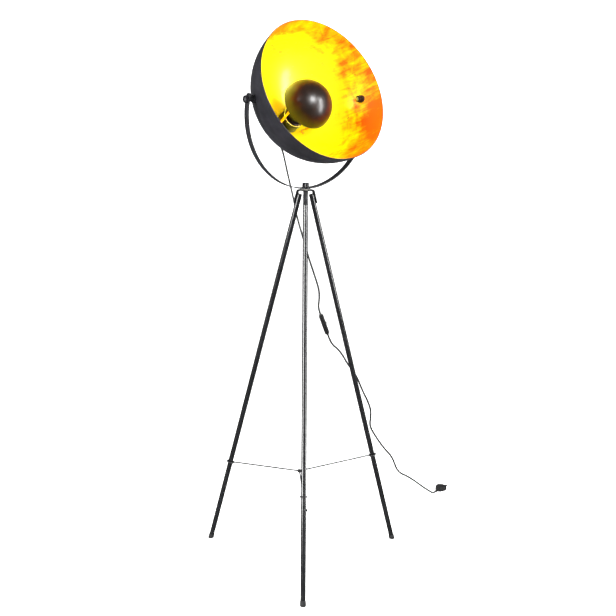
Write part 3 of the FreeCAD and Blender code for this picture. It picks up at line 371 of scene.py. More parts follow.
def goldLeaf(name, look):
    # Schlagmetal leaf laid by hand on red size and lacquered: overlapping leaves, brush strokes
    # round the bowl, and a painted orange band near the rim that stands in for light bounced round the bowl.
    material = bpy.data.materials.new(name)
    material.use_nodes = True
    tree = material.node_tree
    shader = tree.nodes["Principled BSDF"]

    def calc(operation, first, second=0.0):
        return grow(tree, "ShaderNodeMath", {0: first, 1: second}, operation=operation).outputs[0]

    spot = grow(tree, "ShaderNodeTexCoord").outputs["Object"]
    centring = {"Vector": spot, "Location": shadeFrame.to_translation(), "Rotation": shadeFrame.to_euler()}
    centred = grow(tree, "ShaderNodeMapping", centring, vector_type="TEXTURE").outputs["Vector"]
    split = grow(tree, "ShaderNodeSeparateXYZ", {"Vector": centred})
    flat = grow(
        tree, "ShaderNodeCombineXYZ", {"X": split.outputs["X"], "Y": split.outputs["Y"]},
    ).outputs["Vector"]
    reach = grow(tree, "ShaderNodeVectorMath", {0: flat}, operation="LENGTH").outputs["Value"]
    reach = calc("DIVIDE", reach, size["rimRadius"] * mm)
    heading = grow(tree, "ShaderNodeVectorMath", {0: flat}, operation="NORMALIZE").outputs["Vector"]
    headingParts = grow(tree, "ShaderNodeSeparateXYZ", {"Vector": heading})
    ring = grow(
        tree,
        "ShaderNodeCombineXYZ",
        {
            "X": calc("MULTIPLY", headingParts.outputs["X"], look["ringTurns"]),
            "Y": calc("MULTIPLY", headingParts.outputs["Y"], look["ringTurns"]),
            "Z": calc("MULTIPLY", reach, look["ringRows"]),
        },
    ).outputs["Vector"]
    sweep = grow(
        tree, "ShaderNodeTexNoise",
        {"Vector": ring, "Scale": 1.0, "Detail": 4.0, "Roughness": 0.6},
    ).outputs["Fac"]
    slant = grow(
        tree, "ShaderNodeMapping",
        {
            "Vector": centred, "Rotation": (0.0, 0.0, math.radians(look["strokeTurn"])),
            "Scale": look["strokeScale"],
        },
    ).outputs["Vector"]
    stroke = grow(
        tree, "ShaderNodeTexNoise",
        {"Vector": slant, "Scale": 1.0, "Detail": 6.0, "Roughness": 0.7, "Distortion": 0.6},
    ).outputs["Fac"]
    patch = grow(
        tree, "ShaderNodeTexNoise",
        {"Vector": centred, "Scale": 1000 / look["patch"], "Detail": 2.0},
    ).outputs["Fac"]
    leaves = grow(
        tree, "ShaderNodeTexVoronoi", {"Vector": centred, "Scale": 1000 / look["leaf"]},
        distance="CHEBYCHEV",
    ).outputs["Color"]
    leafTone = grow(tree, "ShaderNodeSeparateColor", {"Color": leaves}).outputs[0]
    # the sides term makes the painted orange band of bounce light wider on two opposite quarters of the bowl
    sides = calc("MULTIPLY", headingParts.outputs["X"], headingParts.outputs["Y"])
    level = calc("SUBTRACT", reach, look["shift"])
    fields = {"sweep": sweep, "stroke": stroke, "patch": patch, "leafTone": leafTone, "sides": sides}
    for key, (middle, weight) in look["weights"].items():
        level = calc("ADD", level, calc("MULTIPLY", calc("SUBTRACT", fields[key], middle), weight))
    # the ramp runs from the leaf's own yellow to a painted orange of bounce light towards the rim
    goldAndBounceRamp = grow(tree, "ShaderNodeValToRGB", {"Fac": level})
    stops = look["goldAndBounceRamp"]
    for place, color in stops[1:-1]:
        goldAndBounceRamp.color_ramp.elements.new(place).color = hexColor(color)
    goldAndBounceRamp.color_ramp.elements[0].position = stops[0][0]
    goldAndBounceRamp.color_ramp.elements[0].color = hexColor(stops[0][1])
    goldAndBounceRamp.color_ramp.elements[-1].position = stops[-1][0]
    goldAndBounceRamp.color_ramp.elements[-1].color = hexColor(stops[-1][1])
    speck = grow(
        tree, "ShaderNodeTexNoise",
        {"Vector": centred, "Scale": 1000 / look["speck"], "Detail": 2.0},
    ).outputs["Fac"]
    bare = grow(
        tree, "ShaderNodeMapRange",
        {
            "Value": speck, "From Min": look["bareEdges"][0], "From Max": look["bareEdges"][1],
            "To Min": 0.0, "To Max": look["bareMost"],
        },
    ).outputs["Result"]
    mixed = grow(
        tree, "ShaderNodeMix", {0: bare, 6: goldAndBounceRamp.outputs["Color"], 7: hexColor(look["size"])},
        data_type="RGBA",
    ).outputs[2]
    tree.links.new(mixed, shader.inputs["Base Color"])
    rough = grow(
        tree, "ShaderNodeMapRange",
        {
            "Value": stroke, "From Min": 0.3, "From Max": 0.7, "To Min": look["roughness"][0],
            "To Max": look["roughness"][1],
        },
    )
    tree.links.new(rough.outputs["Result"], shader.inputs["Roughness"])
    wrinkle = grow(
        tree, "ShaderNodeTexNoise",
        {"Vector": centred, "Scale": 1000 / look["wrinkle"], "Detail": 6.0, "Roughness": 0.65},
    ).outputs["Fac"]
    height = calc("ADD", wrinkle, calc("MULTIPLY", stroke, look["strokeHeight"]))
    bump = grow(tree, "ShaderNodeBump", {"Height": height, "Strength": 1.0, "Distance": look["depth"] * mm})
    tree.links.new(bump.outputs["Normal"], shader.inputs["Normal"])
    shader.inputs["Metallic"].default_value = look["metallic"]
    shader.inputs["Coat Weight"].default_value = look["coat"]
    shader.inputs["Coat Roughness"].default_value = look["coatRoughness"]
    return material


# gloss stove enamel on drawn steel tube: deep black with a long narrow light along it
blackTube = finish("blackTube", {
    "color": "#0B0B0D", "tint": "#141416", "cloud": 60, "roughness": (0.14, 0.24),
    "grain": 2.2, "depth": 0.003, "coat": 0.5, "coatRoughness": 0.08,
})
# satin powder coat on sheet steel: even black with a faint orange peel
blackPlate = finish("blackPlate", {
    "color": "#101012", "tint": "#1B1B1E", "cloud": 22, "roughness": (0.30, 0.42),
    "grain": 1.1, "depth": 0.010, "specular": 0.35,
})
# the same coat on drawn wire: black, a little smoother than on the sheet
blackWire = finish("blackWire", {
    "color": "#121214", "tint": "#1D1D20", "cloud": 30, "roughness": (0.28, 0.40),
    "grain": 1.0, "depth": 0.006,
})
# satin paint sprayed on the spun bowl: soft charcoal with a slight cool cloudiness
shadePaint = finish("shadePaint", {
    "color": "#131317", "tint": "#1E1D22", "cloud": 70, "roughness": (0.36, 0.46),
    "grain": 0.9, "depth": 0.008, "specular": 0.35,
})
# dark bronze gloss paint on the small bowl: brown-black, takes a soft round light
capPaint = finish("capPaint", {
    "color": "#120904", "tint": "#1F1109", "cloud": 34, "roughness": (0.30, 0.38),
    "grain": 1.4, "depth": 0.004, "coat": 0.2, "coatRoughness": 0.25,
})
# gold lacquer on cut steel strip: warm yellow metal, cloudy from the brush
goldStrip = finish("goldStrip", {
    "color": "#F0A020", "tint": "#FFC940", "cloud": 9, "roughness": (0.22, 0.38), "grain": 1.2,
    "depth": 0.010, "metallic": 0.85,
})
# turned and blackened steel: oily black, its edges catch small lights
blackKnob = finish("blackKnob", {
    "color": "#0D0D0F", "tint": "#1A1A1D", "cloud": 8, "roughness": (0.20, 0.34), "grain": 0.5,
    "depth": 0.006, "coat": 0.2,
})
# moulded phenolic of the lamp holder: matt black with a dull skin
blackPlastic = finish("blackPlastic", {
    "color": "#0E0E0F", "tint": "#19191A", "cloud": 16, "roughness": (0.42, 0.56),
    "grain": 0.6, "depth": 0.008,
})
# bright zinc plating: pale grey metal with a slight blue bloom
zincScrew = finish("zincScrew", {
    "color": "#A9ABB0", "tint": "#C4C5C8", "cloud": 7, "roughness": (0.22, 0.36), "grain": 0.6,
    "depth": 0.006, "metallic": 1.0,
})
# black oxide on steel: oily charcoal metal
darkScrew = finish("darkScrew", {
    "color": "#17171A", "tint": "#2A2A2E", "cloud": 6, "roughness": (0.30, 0.44), "grain": 0.5,
    "depth": 0.006, "metallic": 0.6,
})
# moulded rubber of the feet: dull dark grey, a little dusty
footRubber = finish("footRubber", {
    "color": "#131314", "tint": "#222224", "cloud": 10, "roughness": (0.62, 0.78),
    "grain": 0.8, "depth": 0.016, "specular": 0.35,
})
# natural nylon, cut from rod: milky white, half matt
paleNylon = finish("paleNylon", {
    "color": "#D5D2C8", "tint": "#E6E3DA", "cloud": 9, "roughness": (0.40, 0.52), "grain": 0.7,
    "depth": 0.006,
})
# drawn brass sheet: dull yellow metal with faint brown tarnish
brass = finish("brass", {
    "color": "#B08A3C", "tint": "#CBA552", "cloud": 8, "roughness": (0.24, 0.40), "grain": 0.7,
    "depth": 0.006, "metallic": 1.0,
})
# pale bright metal on the cup's turned edge, a painted highlight where the edge catches the light
edgeHighlight = finish("edgeHighlight", {
    "color": "#B9B6AE", "tint": "#D8D6D0", "cloud": 4, "roughness": (0.18, 0.30), "grain": 0.5,
    "depth": 0.004, "metallic": 1.0,
})
# extruded vinyl sheath of the cord: soft satin black
cordSheath = finish("cordSheath", {
    "color": "#0C0C0D", "tint": "#171718", "cloud": 18, "roughness": (0.34, 0.46),
    "grain": 0.9, "depth": 0.010,
})
# moulded shells of the switch: hard black plastic with a clean gloss
switchPlastic = finish("switchPlastic", {
    "color": "#0D0D0E", "tint": "#161617", "cloud": 12, "roughness": (0.22, 0.34),
    "grain": 0.7, "depth": 0.006,
})
# moulded vinyl of the plug: soft matt black
plugVinyl = finish("plugVinyl", {
    "color": "#101011", "tint": "#1B1B1C", "cloud": 14, "roughness": (0.44, 0.58),
    "grain": 0.8, "depth": 0.010,
})
# nickelled brass of the pins: bright metal, slightly yellow
pinMetal = finish("pinMetal", {
    "color": "#BDB9A8", "tint": "#D6D2C2", "cloud": 6, "roughness": (0.16, 0.28), "grain": 0.6,
    "depth": 0.004, "metallic": 1.0,
})
goldInside = goldLeaf(
    "goldInside",
    {
        "ringTurns": 2.6, "ringRows": 15.0, "strokeTurn": 38, "strokeScale": (9.0, 70.0, 16.0),
        "patch": 150, "leaf": 85, "speck": 9,
        "weights": {
            "sweep": (0.5, 0.42), "stroke": (0.5, 0.40), "patch": (0.5, 0.42),
            "leafTone": (0.5, 0.05), "sides": (0.0, -0.08),
        },
        "bareEdges": (0.70, 0.76), "bareMost": 0.55, "strokeHeight": 1.6, "coat": 0.35, "coatRoughness": 0.22,
        "wrinkle": 5, "depth": 0.05, "metallic": 0.4, "shift": 0.06, "roughness": (0.34, 0.50),
        "size": "#5A2408",
        # the yellow stops are the leaf's own colour; the orange stops are painted bounce light near the rim
        "goldAndBounceRamp": [
            (0.48, "#FFFA00"), (0.76, "#FFEC00"), (0.85, "#FFB800"), (0.91, "#FF7E00"),
            (0.97, "#EE5000"),
        ],
    },
)
materialOfSlot = {
    "black_tube": blackTube, "black_plate": blackPlate, "black_wire": blackWire,
    "shade_paint": shadePaint, "cap_paint": capPaint,
    "gold_strip": goldStrip, "black_plastic": blackPlastic, "black_knob": blackKnob,
    "zinc_screw": zincScrew, "dark_screw": darkScrew,
    "foot_rubber": footRubber, "pale_nylon": paleNylon, "brass": brass, "cord_sheath": cordSheath,
    "switch_plastic": switchPlastic,
    "plug_vinyl": plugVinyl, "pin_metal": pinMetal,
}
for part in frame["record"]["subparts"]:
    cadNode = frame["nodes"][part["node"]]
    cadNode.data.materials.clear()
    cadNode.data.materials.append(materialOfSlot[part["material_slot"]])
print("materials are made")

# the cord's route from the gland to the plug, in millimetres from the tripod's axis on the floor
cordSettings = {
    "shade": [
        (-83, 120, 1210), (-79, 123, 1193), (-67, 119, 1175), (-60, 115, 1147), (-48, 109, 1094),
        (-35, 104, 1043),
    ],
    "yoke": [
        (-24, 102, 988), (-13, 100, 950), (1, 100, 906), (10, 101, 872), (25, 104, 828),
        (41.5, 106, 778), (43, 107, 751), (40, 106, 731),
    ],
    "tail": [
        (81, 107, 616), (100, 109, 600), (113, 112, 582), (129, 116, 553), (155, 126, 518),
        (173, 136, 471), (189, 147, 439),
        (201, 162, 405), (202, 181, 374), (201, 204, 346), (210, 240, 318), (230, 270, 280),
        (254, 302, 240), (283, 348, 199),
        (302, 365, 143), (339, 410, 114), (376, 455, 76), (404, 508, 41), (430, 533, 17), (441, 551, 6.85),
    ],
    "plug": (452, 571, 6.85),
    "switch": (57.3, 105, 675.5),
    "switchLean": (-22.5, 0, 61),
    "glandTip": 232.26,
    "leadIn": 3.3,
    "switchReach": 32.5,
    "switchLead": 43.3,
    "shadeBendEnd": (-53, 112, 1118),
    "yokeBend": ((-22, 102, 980), (33, 105, 803)),
    "smoothness": 10,
    "sides": 5,
}


def routeSpot(point):
    return standFrame @ (Vector(point) * mm)


lean = Vector(cordSettings["switchLean"]).normalized()
across = Vector((0, 1, 0)).cross(lean)
leanTurn = Matrix((across, (0, 1, 0), lean)).transposed().to_4x4()
switchFrame = standFrame @ shifted(*cordSettings["switch"]) @ leanTurn
tip = lampFrame @ Vector((0, 0, -cordSettings["glandTip"] * mm))
leadInReach = cordSettings["glandTip"] + cordSettings["leadIn"] * size["cord"]
leadIn = lampFrame @ Vector((0, 0, -leadInReach * mm))
meeting = (routeSpot(cordSettings["shade"][-1]) + routeSpot(cordSettings["yoke"][0])) / 2
into = [switchFrame @ Vector((0, 0, cordSettings[key] * mm)) for key in ("switchLead", "switchReach")]
outOf = [switchFrame @ Vector((0, 0, -cordSettings[key] * mm)) for key in ("switchReach", "switchLead")]
cordRuns = {
    "cordShade": [tip, leadIn] + [routeSpot(p) for p in cordSettings["shade"]] + [meeting],
    "cordYoke": [meeting] + [routeSpot(p) for p in cordSettings["yoke"]] + into,
    "cordTail": outOf + [routeSpot(p) for p in cordSettings["tail"]] + [routeSpot(cordSettings["plug"])],
}


def cordPiece(name, points):
    # a round cord along a smooth line that the points steer; returns it with its path
    curve = bpy.data.curves.new(name, "CURVE")
    curve.dimensions = "3D"
    curve.resolution_u = cordSettings["smoothness"]
    spline = curve.splines.new("NURBS")
    spline.points.add(len(points) - 1)
    for point, place in zip(spline.points, points):
        point.co = (*place, 1.0)
    spline.order_u = 3
    spline.use_endpoint_u = True
    line = bpy.data.objects.new(name, curve)
    bpy.context.scene.collection.objects.link(line)
    bpy.context.view_layer.update()
    thread = bpy.data.meshes.new_from_object(line.evaluated_get(bpy.context.evaluated_depsgraph_get()))
    path = [tuple(vertex.co) for vertex in thread.vertices]
    bpy.data.meshes.remove(thread)
    curve.bevel_depth = size["cord"] / 2 * mm
    curve.bevel_resolution = cordSettings["sides"]
    curve.use_fill_caps = True
    choose(line)
    bpy.ops.object.convert(target="MESH")
    cord = bpy.context.object
    bpy.ops.object.mode_set(mode="EDIT")
    tidyMesh()
    smoothed(cord, 50)
    length = sum((Vector(a) - Vector(b)).length for a, b in zip(path, path[1:]))
    print(name, "is", round(length / mm), "mm long")
    return cord, path, length


cords = {name: cordPiece(name, points) for name, points in cordRuns.items()}
worn(cords["cordShade"][0], cordSheath, "cord_sheath", None, "cord_at_shade")
worn(cords["cordYoke"][0], cordSheath, "cord_sheath", None, "cord_at_yoke", "cord_at_stand")
worn(cords["cordTail"][0], cordSheath, "cord_sheath", "stand", "cord_to_plug")
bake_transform(cords["cordShade"][0])
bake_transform(cords["cordYoke"][0])
print("cords are made")

switchSettings = {
    "length": 57.0, "width": 20.0, "half": 6.5, "corner": 4.0, "round": 1.6, "slotDepth": 2.4,
    "slotInset": 5.4, "slotShare": 0.34, "seam": 0.3, "frontArea": 400, "collarRadius": 4.2,
    "collarBore": 2.8, "collarLength": 4.0, "collarRoot": 1.0, "collarEdge": 0.7, "collarRise": 1.0,
}


def switchShell(name, side, s):
    # one of the two moulded halves, which meet on the YZ plane
    bpy.ops.object.select_all(action="DESELECT")
    bpy.ops.mesh.primitive_cube_add(
        size=1, location=(side * s["half"] * mm / 2, 0, 0),
        scale=(s["half"] * mm, s["width"] * mm, s["length"] * mm),
    )
    shell = bpy.context.object
    shell.name = name
    bpy.ops.object.transform_apply(location=True, rotation=True, scale=True)
    bpy.ops.object.mode_set(mode="EDIT")
    bpy.ops.mesh.select_mode(type="EDGE")
    bpy.ops.mesh.select_all(action="DESELECT")
    bpy.ops.object.mode_set(mode="OBJECT")
    for edge in shell.data.edges:
        a, b = (shell.data.vertices[i].co for i in edge.vertices)
        edge.select = abs(a.x - b.x) > s["half"] * mm / 2
    bpy.ops.object.mode_set(mode="EDIT")
    bpy.ops.mesh.bevel(offset=s["corner"] * mm, segments=5, affect="EDGES")
    bpy.ops.mesh.select_mode(type="FACE")
    bpy.ops.mesh.select_all(action="DESELECT")
    bpy.ops.object.mode_set(mode="OBJECT")
    for face in shell.data.polygons:
        face.select = face.normal.x * side > 0.9
    bpy.ops.object.mode_set(mode="EDIT")
    bpy.ops.mesh.region_to_loop()
    bpy.ops.mesh.bevel(offset=s["round"] * mm, segments=4, affect="EDGES")
    bpy.ops.mesh.select_all(action="DESELECT")
    bpy.ops.mesh.select_mode(type="FACE")
    bpy.ops.object.mode_set(mode="OBJECT")
    for face in shell.data.polygons:
        face.select = face.normal.x * side < -0.9
    bpy.ops.object.mode_set(mode="EDIT")
    bpy.ops.mesh.region_to_loop()
    bpy.ops.mesh.bevel(offset=s["seam"] * mm, segments=1, affect="EDGES")
    tidyMesh()
    return shell


switchBase = switchShell("switchBase", -1, switchSettings)
switchCover = switchShell("switchCover", 1, switchSettings)
choose(switchCover)
bpy.ops.object.mode_set(mode="EDIT")
bpy.ops.mesh.select_mode(type="FACE")
bpy.ops.mesh.select_all(action="DESELECT")
bpy.ops.object.mode_set(mode="OBJECT")
for face in switchCover.data.polygons:
    face.select = face.normal.x > 0.99 and face.area > switchSettings["frontArea"] * mm * mm
bpy.ops.object.mode_set(mode="EDIT")
bpy.ops.mesh.inset(thickness=switchSettings["slotInset"] * mm, depth=0)
slotCentre = (switchSettings["half"] * mm, 0, 0)
bpy.ops.transform.resize(value=(1, 1, switchSettings["slotShare"]), center_override=slotCentre)
bpy.ops.mesh.extrude_region_move(TRANSFORM_OT_translate={"value": (-switchSettings["slotDepth"] * mm, 0, 0)})
tidyMesh()
collarRadius, collarBore = switchSettings["collarRadius"], switchSettings["collarBore"]
collarLow = switchSettings["length"] / 2 - switchSettings["collarRoot"]
collarHigh = switchSettings["length"] / 2 + switchSettings["collarLength"]
collarProfile = [
    (collarBore, collarLow),
    (collarRadius, collarLow),
    (collarRadius, collarHigh - switchSettings["collarRise"]),
    (collarRadius - switchSettings["collarEdge"], collarHigh),
    (collarBore, collarHigh),
]
collar = spun("switchCollarUpper", collarProfile, 48)
collarLower = placed(twinOf(collar, "switchCollarLower"), turned("X", 180))
for piece in (switchBase, switchCover):
    smoothed(piece, 30)
standsFor = {switchBase: ["switch_base"], switchCover: ["switch_cover"], collar: [], collarLower: []}
for piece, nodes in standsFor.items():
    worn(placed(piece, switchFrame), switchPlastic, "switch_plastic", "stand", *nodes)
sliderSettings = {
    "ridge": [
        (4.4, -4.0), (6.5, -4.0), (7.3, -2.6), (7.9, -2.5), (7.9, -1.9), (8.3, -1.8), (8.3, -0.4),
        (8.7, -0.3), (8.7, 0.3), (8.3, 0.4), (8.3, 1.8), (7.9, 1.9), (7.9, 2.5), (7.3, 2.6),
        (6.5, 4.0), (4.4, 4.0),
    ],
    "width": 6.4, "offset": 2.5, "edge": 0.25,
}
slider = startVertex(
    "switchSlider",
    (sliderSettings["ridge"][0][0], -sliderSettings["width"] / 2, sliderSettings["ridge"][0][1]),
)
chain(sliderSettings["ridge"], True)
bpy.ops.mesh.select_all(action="SELECT")
bpy.ops.mesh.remove_doubles(threshold=mergeDistance)
bpy.ops.mesh.edge_face_add()
bpy.ops.mesh.extrude_region_move(TRANSFORM_OT_translate={"value": (0, sliderSettings["width"] * mm, 0)})
tidyMesh()
edged(slider, sliderSettings["edge"])
smoothed(slider)
worn(
    placed(slider, switchFrame @ shifted(0, 0, sliderSettings["offset"])), switchPlastic,
    "switch_plastic", "switch_slider", "switch_slider",
)
print("switch is made")

shadeSettings = {
    "bead": 1.25, "beadCentre": (-0.45, 1.2), "beadTurn": (-75, 100), "beadSteps": 10,
    "lip": [(199.0, -8.1), (198.82, -8.8)],
    "rows": 44, "segments": 160, "rimAngle": -2.94, "goldDepth": 0.35, "goldRim": 198.95,
}
beadOut, beadUp = shadeSettings["beadCentre"]
beadCentre = (size["rimRadius"] + beadOut, size["rimLevel"] + beadUp)
domeProfile = (
    arc((0, 0), size["domeRadius"], -90, shadeSettings["rimAngle"], shadeSettings["rows"])
    + arc(beadCentre, shadeSettings["bead"], *shadeSettings["beadTurn"], shadeSettings["beadSteps"])
    + shadeSettings["lip"]
    + arc((0, 0), size["domeInside"], shadeSettings["rimAngle"], -90, shadeSettings["rows"])
)
dome = spun("shadeBowl", domeProfile, shadeSettings["segments"], closed=False)
worn(placed(dome, shadeFrame), [shadePaint, goldInside], "shade_paint", "head", "dome_shell")
inward = shadeFrame.inverted()
for face in dome.data.polygons:
    centre = inward @ face.center / mm
    if centre.z < size["rimLevel"]:
        gold = centre.length < size["domeInside"] + shadeSettings["goldDepth"]
    else:
        gold = math.hypot(centre.x, centre.y) < shadeSettings["goldRim"]
    face.material_index = 1 if gold else 0

capSettings = {
    "radius": 70.47, "inside": 69.47, "centre": -99.33, "rim": 2.6, "lipTurn": 0.4, "rows": 26,
    "segments": 128, "bead": 0.75, "beadCentre": (69.95, -96.75), "beadTurn": (45, -180),
    "beadSteps": 8,
}
capProfile = (
    arc((0, capSettings["centre"]), capSettings["radius"], 90, capSettings["rim"], capSettings["rows"])
    + arc(capSettings["beadCentre"], capSettings["bead"], *capSettings["beadTurn"], capSettings["beadSteps"])
    + arc(
        (0, capSettings["centre"]), capSettings["inside"],
        capSettings["rim"] + capSettings["lipTurn"], 90, capSettings["rows"],
    )
)
cap = spun("glareBowl", capProfile, capSettings["segments"], closed=False)
worn(placed(cap, lampFrame), capPaint, "cap_paint", "head", "glare_cap")

strutSettings = {
    "heading": 15.5,
    "line": [
        (54.0, -190.6), (46.6, -192.3), (44.4, -191.0), (43.9, -188.4), (67.2, -97.8),
        (67.43, -95.8), (67.43, -86.4),
    ],
    "width": 6.5, "thickness": 1.4, "corner": 1.5, "edge": 0.25,
    "rivet": [(0, 0.9), (1.1, 0.75), (1.9, 0.2), (2.1, -0.6), (0, -0.6)],
    "rivetAt": (50.2, 0, -190.7), "rivetTilt": -13,
}
firstStrut = strap(
    "capStrut1", strutSettings["line"], strutSettings["width"], strutSettings["thickness"],
    strutSettings["corner"], strutSettings["edge"],
)
rivet = spun("strutRivet1", strutSettings["rivet"], 32, closed=False)
rivetSpot = shifted(*strutSettings["rivetAt"]) @ turned("Y", strutSettings["rivetTilt"])
for step in range(3):
    heading = lampFrame @ turned("Z", strutSettings["heading"] + 120 * step)
    strut = twinOf(firstStrut, "capStrut%d" % (step + 1))
    worn(placed(strut, heading), goldStrip, "gold_strip", "head", "cap_strut_%d" % (step + 1))
    worn(
        placed(twinOf(rivet, "strutRivet%d" % (step + 1)), heading @ rivetSpot), goldStrip,
        "gold_strip", "head",
    )
bpy.data.objects.remove(firstStrut)
bpy.data.objects.remove(rivet)

cupSettings = {
    "profile": [
        (29.8, -196.6), (31.0, -196.6), (31.0, -171.0), (30.5, -170.4), (30.5, -169.8),
        (31.0, -169.2), (31.0, -164.6), (30.7, -163.3), (29.6, -162.2), (26.4, -158.9),
        (25.6, -158.63), (20.4, -158.63), (20.4, -159.8), (25.2, -159.8), (29.8, -164.2),
    ],
    "edgeHighlight": (-163.4, -162.1),
}
cup = spun("holderCup", cupSettings["profile"], 96)
# the upward faces in this band of the cup's shoulder get the pale metal, a painted highlight
highlightLow, highlightHigh = cupSettings["edgeHighlight"]
for face in cup.data.polygons:
    face.material_index = 1 if highlightLow < face.center.z / mm < highlightHigh and face.normal.z > 0 else 0
indices = [face.material_index for face in cup.data.polygons]
worn(placed(cup, lampFrame), [blackPlate, edgeHighlight], "black_plate", "head", "holder_cup")
for face, index in zip(cup.data.polygons, indices):
    face.material_index = index

holderSettings = {
    "back": [(5.0, -189.96), (18.8, -189.96), (20.3, -188.46)],
    "front": [
        (20.3, -134.46), (18.8, -132.96), (15.4, -132.96), (14.6, -133.8), (14.6, -164.96),
        (5.0, -164.96),
    ],
    "rib": [(20.3, 0.0), (19.7, 0.4), (19.7, 1.2), (20.3, 1.6)],
    "firstRib": -183.0, "ribPitch": 3.4, "ribs": 9,
}
ribs = []
for step in range(holderSettings["ribs"]):
    low = holderSettings["firstRib"] + step * holderSettings["ribPitch"]
    ribs += [(radius, low + rise) for radius, rise in holderSettings["rib"]]
holderBody = spun("lampHolderBody", holderSettings["back"] + ribs + holderSettings["front"], 96)
worn(placed(holderBody, lampFrame), blackPlastic, "black_plastic", "head", "lamp_holder")

glandSettings = {
    "root": [
        (2.75, -211), (5.0, -211), (5.0, -200.26), (8.6, -200.26), (9.0, -200.7), (9.0, -207.6),
        (8.4, -208.26), (6.6, -208.26),
    ],
    "end": [(4.1, -231.4), (3.6, -232.2), (2.75, -232.2)],
    "ring": [(0.0, 0.0), (-0.1, -1.7), (-0.8, -2.1), (-0.9, -2.9)],
    "firstRing": -210.6, "ringPitch": 3.4, "rings": 6, "neck": 6.5, "taper": 2.5 / 24.0, "neckStart": -208.3,
}
rings = []
for step in range(glandSettings["rings"]):
    low = glandSettings["firstRing"] - step * glandSettings["ringPitch"]
    radius = glandSettings["neck"] - glandSettings["taper"] * (glandSettings["neckStart"] - low)
    rings += [(radius + inwards, low + drop) for inwards, drop in glandSettings["ring"]]
glandProfile = glandSettings["root"] + rings + glandSettings["end"]
worn(
    placed(spun("cordGland", glandProfile, 64), lampFrame), blackPlastic, "black_plastic", "head",
    "cord_gland",
)
print("shade is made")

yokeSettings = {
    "width": 18.0, "thickness": 3.0, "reach": 102.63, "steps": 70, "corner": 8.7, "edge": 0.45,
    "padRadius": 8.5, "padFaces": (205.51, 211.4), "padEdge": 0.4, "padBore": 5.1,
    "boss": [(4.1, -3.1), (12.0, -3.1), (12.5, -2.6), (12.5, 1.7), (11.8, 2.4), (4.1, 2.4)],
}
halfTurn = yokeSettings["reach"]
yokeLine = arc(
    (0, size["yokeRadius"]), size["yokeRadius"], -90 - halfTurn, -90 + halfTurn,
    yokeSettings["steps"],
)
yokeStrip = strap(
    "yokeStrip", yokeLine, yokeSettings["width"], yokeSettings["thickness"],
    yokeSettings["corner"], yokeSettings["edge"],
)
worn(placed(yokeStrip, yokeFrame), blackPlate, "black_plate", "yoke", "yoke")
padInside, padOutside = yokeSettings["padFaces"]
padRadius, padEdge, padBore = (yokeSettings[key] for key in ("padRadius", "padEdge", "padBore"))
padProfile = [
    (padBore, padInside),
    (padRadius - padEdge, padInside),
    (padRadius, padInside + padEdge),
    (padRadius, padOutside - padEdge),
    (padRadius - padEdge, padOutside),
    (padBore, padOutside),
]
pad = spun("yokePadLeft", padProfile, 64)
padRight = placed(twinOf(pad, "yokePadRight"), pivotFrame @ turned("Y", -90))
worn(padRight, blackPlate, "black_plate", "yoke")
worn(placed(pad, pivotFrame @ turned("Y", 90)), blackPlate, "black_plate", "yoke")
boss = spun("yokeBoss", yokeSettings["boss"], 72)
worn(placed(boss, yokeFrame @ turned("X", size["yokeRake"])), blackPlate, "black_plate", "yoke")
print("yoke is made")


# the shoulders of a flute, and the recess with its bore in the face of a thumb nut
faceSettings = {"shoulder": 0.55, "lipDepth": 0.3, "lipShare": 0.96, "boreDepth": 0.8}


def thumbNut(name, s):
    # a fluted wheel: a circle with pinched groups of points, drawn up, chamfered and hollowed
    bpy.ops.object.select_all(action="DESELECT")
    bpy.ops.mesh.primitive_circle_add(
        vertices=s["flutes"] * 6, radius=s["radius"] * mm, fill_type="NGON", location=(0, 0, 0),
    )
    wheel = bpy.context.object
    wheel.name = name
    bpy.ops.object.mode_set(mode="EDIT")
    bpy.ops.mesh.select_mode(type="VERT")
    for offsets, pinch in (((0,), s["pinch"]), ((1, 5), s["pinch"] * faceSettings["shoulder"])):
        bpy.ops.mesh.select_all(action="DESELECT")
        bpy.ops.object.mode_set(mode="OBJECT")
        for index, vertex in enumerate(wheel.data.vertices):
            vertex.select = index % 6 in offsets
        bpy.ops.object.mode_set(mode="EDIT")
        share = 1 - pinch / s["radius"]
        bpy.ops.transform.resize(value=(share, share, 1), center_override=(0, 0, 0))
    bpy.ops.mesh.select_all(action="SELECT")
    share = 1 - s["chamfer"] / s["radius"]
    bpy.ops.transform.resize(value=(share, share, 1), center_override=(0, 0, 0))

    def draw(rise, scale):
        bpy.ops.mesh.extrude_region_move(TRANSFORM_OT_translate={"value": (0, 0, rise * mm)})
        bpy.ops.transform.resize(value=(scale, scale, 1), center_override=(0, 0, 0))

    draw(s["chamfer"], 1 / share)
    draw(s["height"] - 2 * s["chamfer"], 1.0)
    draw(s["chamfer"], share)
    draw(0.0, s["recess"] / (s["radius"] - s["chamfer"]))
    bpy.ops.transform.tosphere(value=1)
    draw(-faceSettings["lipDepth"], faceSettings["lipShare"])
    draw(faceSettings["lipDepth"] - s["recessDepth"], 1.0)
    draw(0.0, s["bore"] / (s["recess"] * faceSettings["lipShare"]))
    draw(-faceSettings["boreDepth"], 1.0)
    tidyMesh()
    smoothed(wheel, 28)
    return wheel


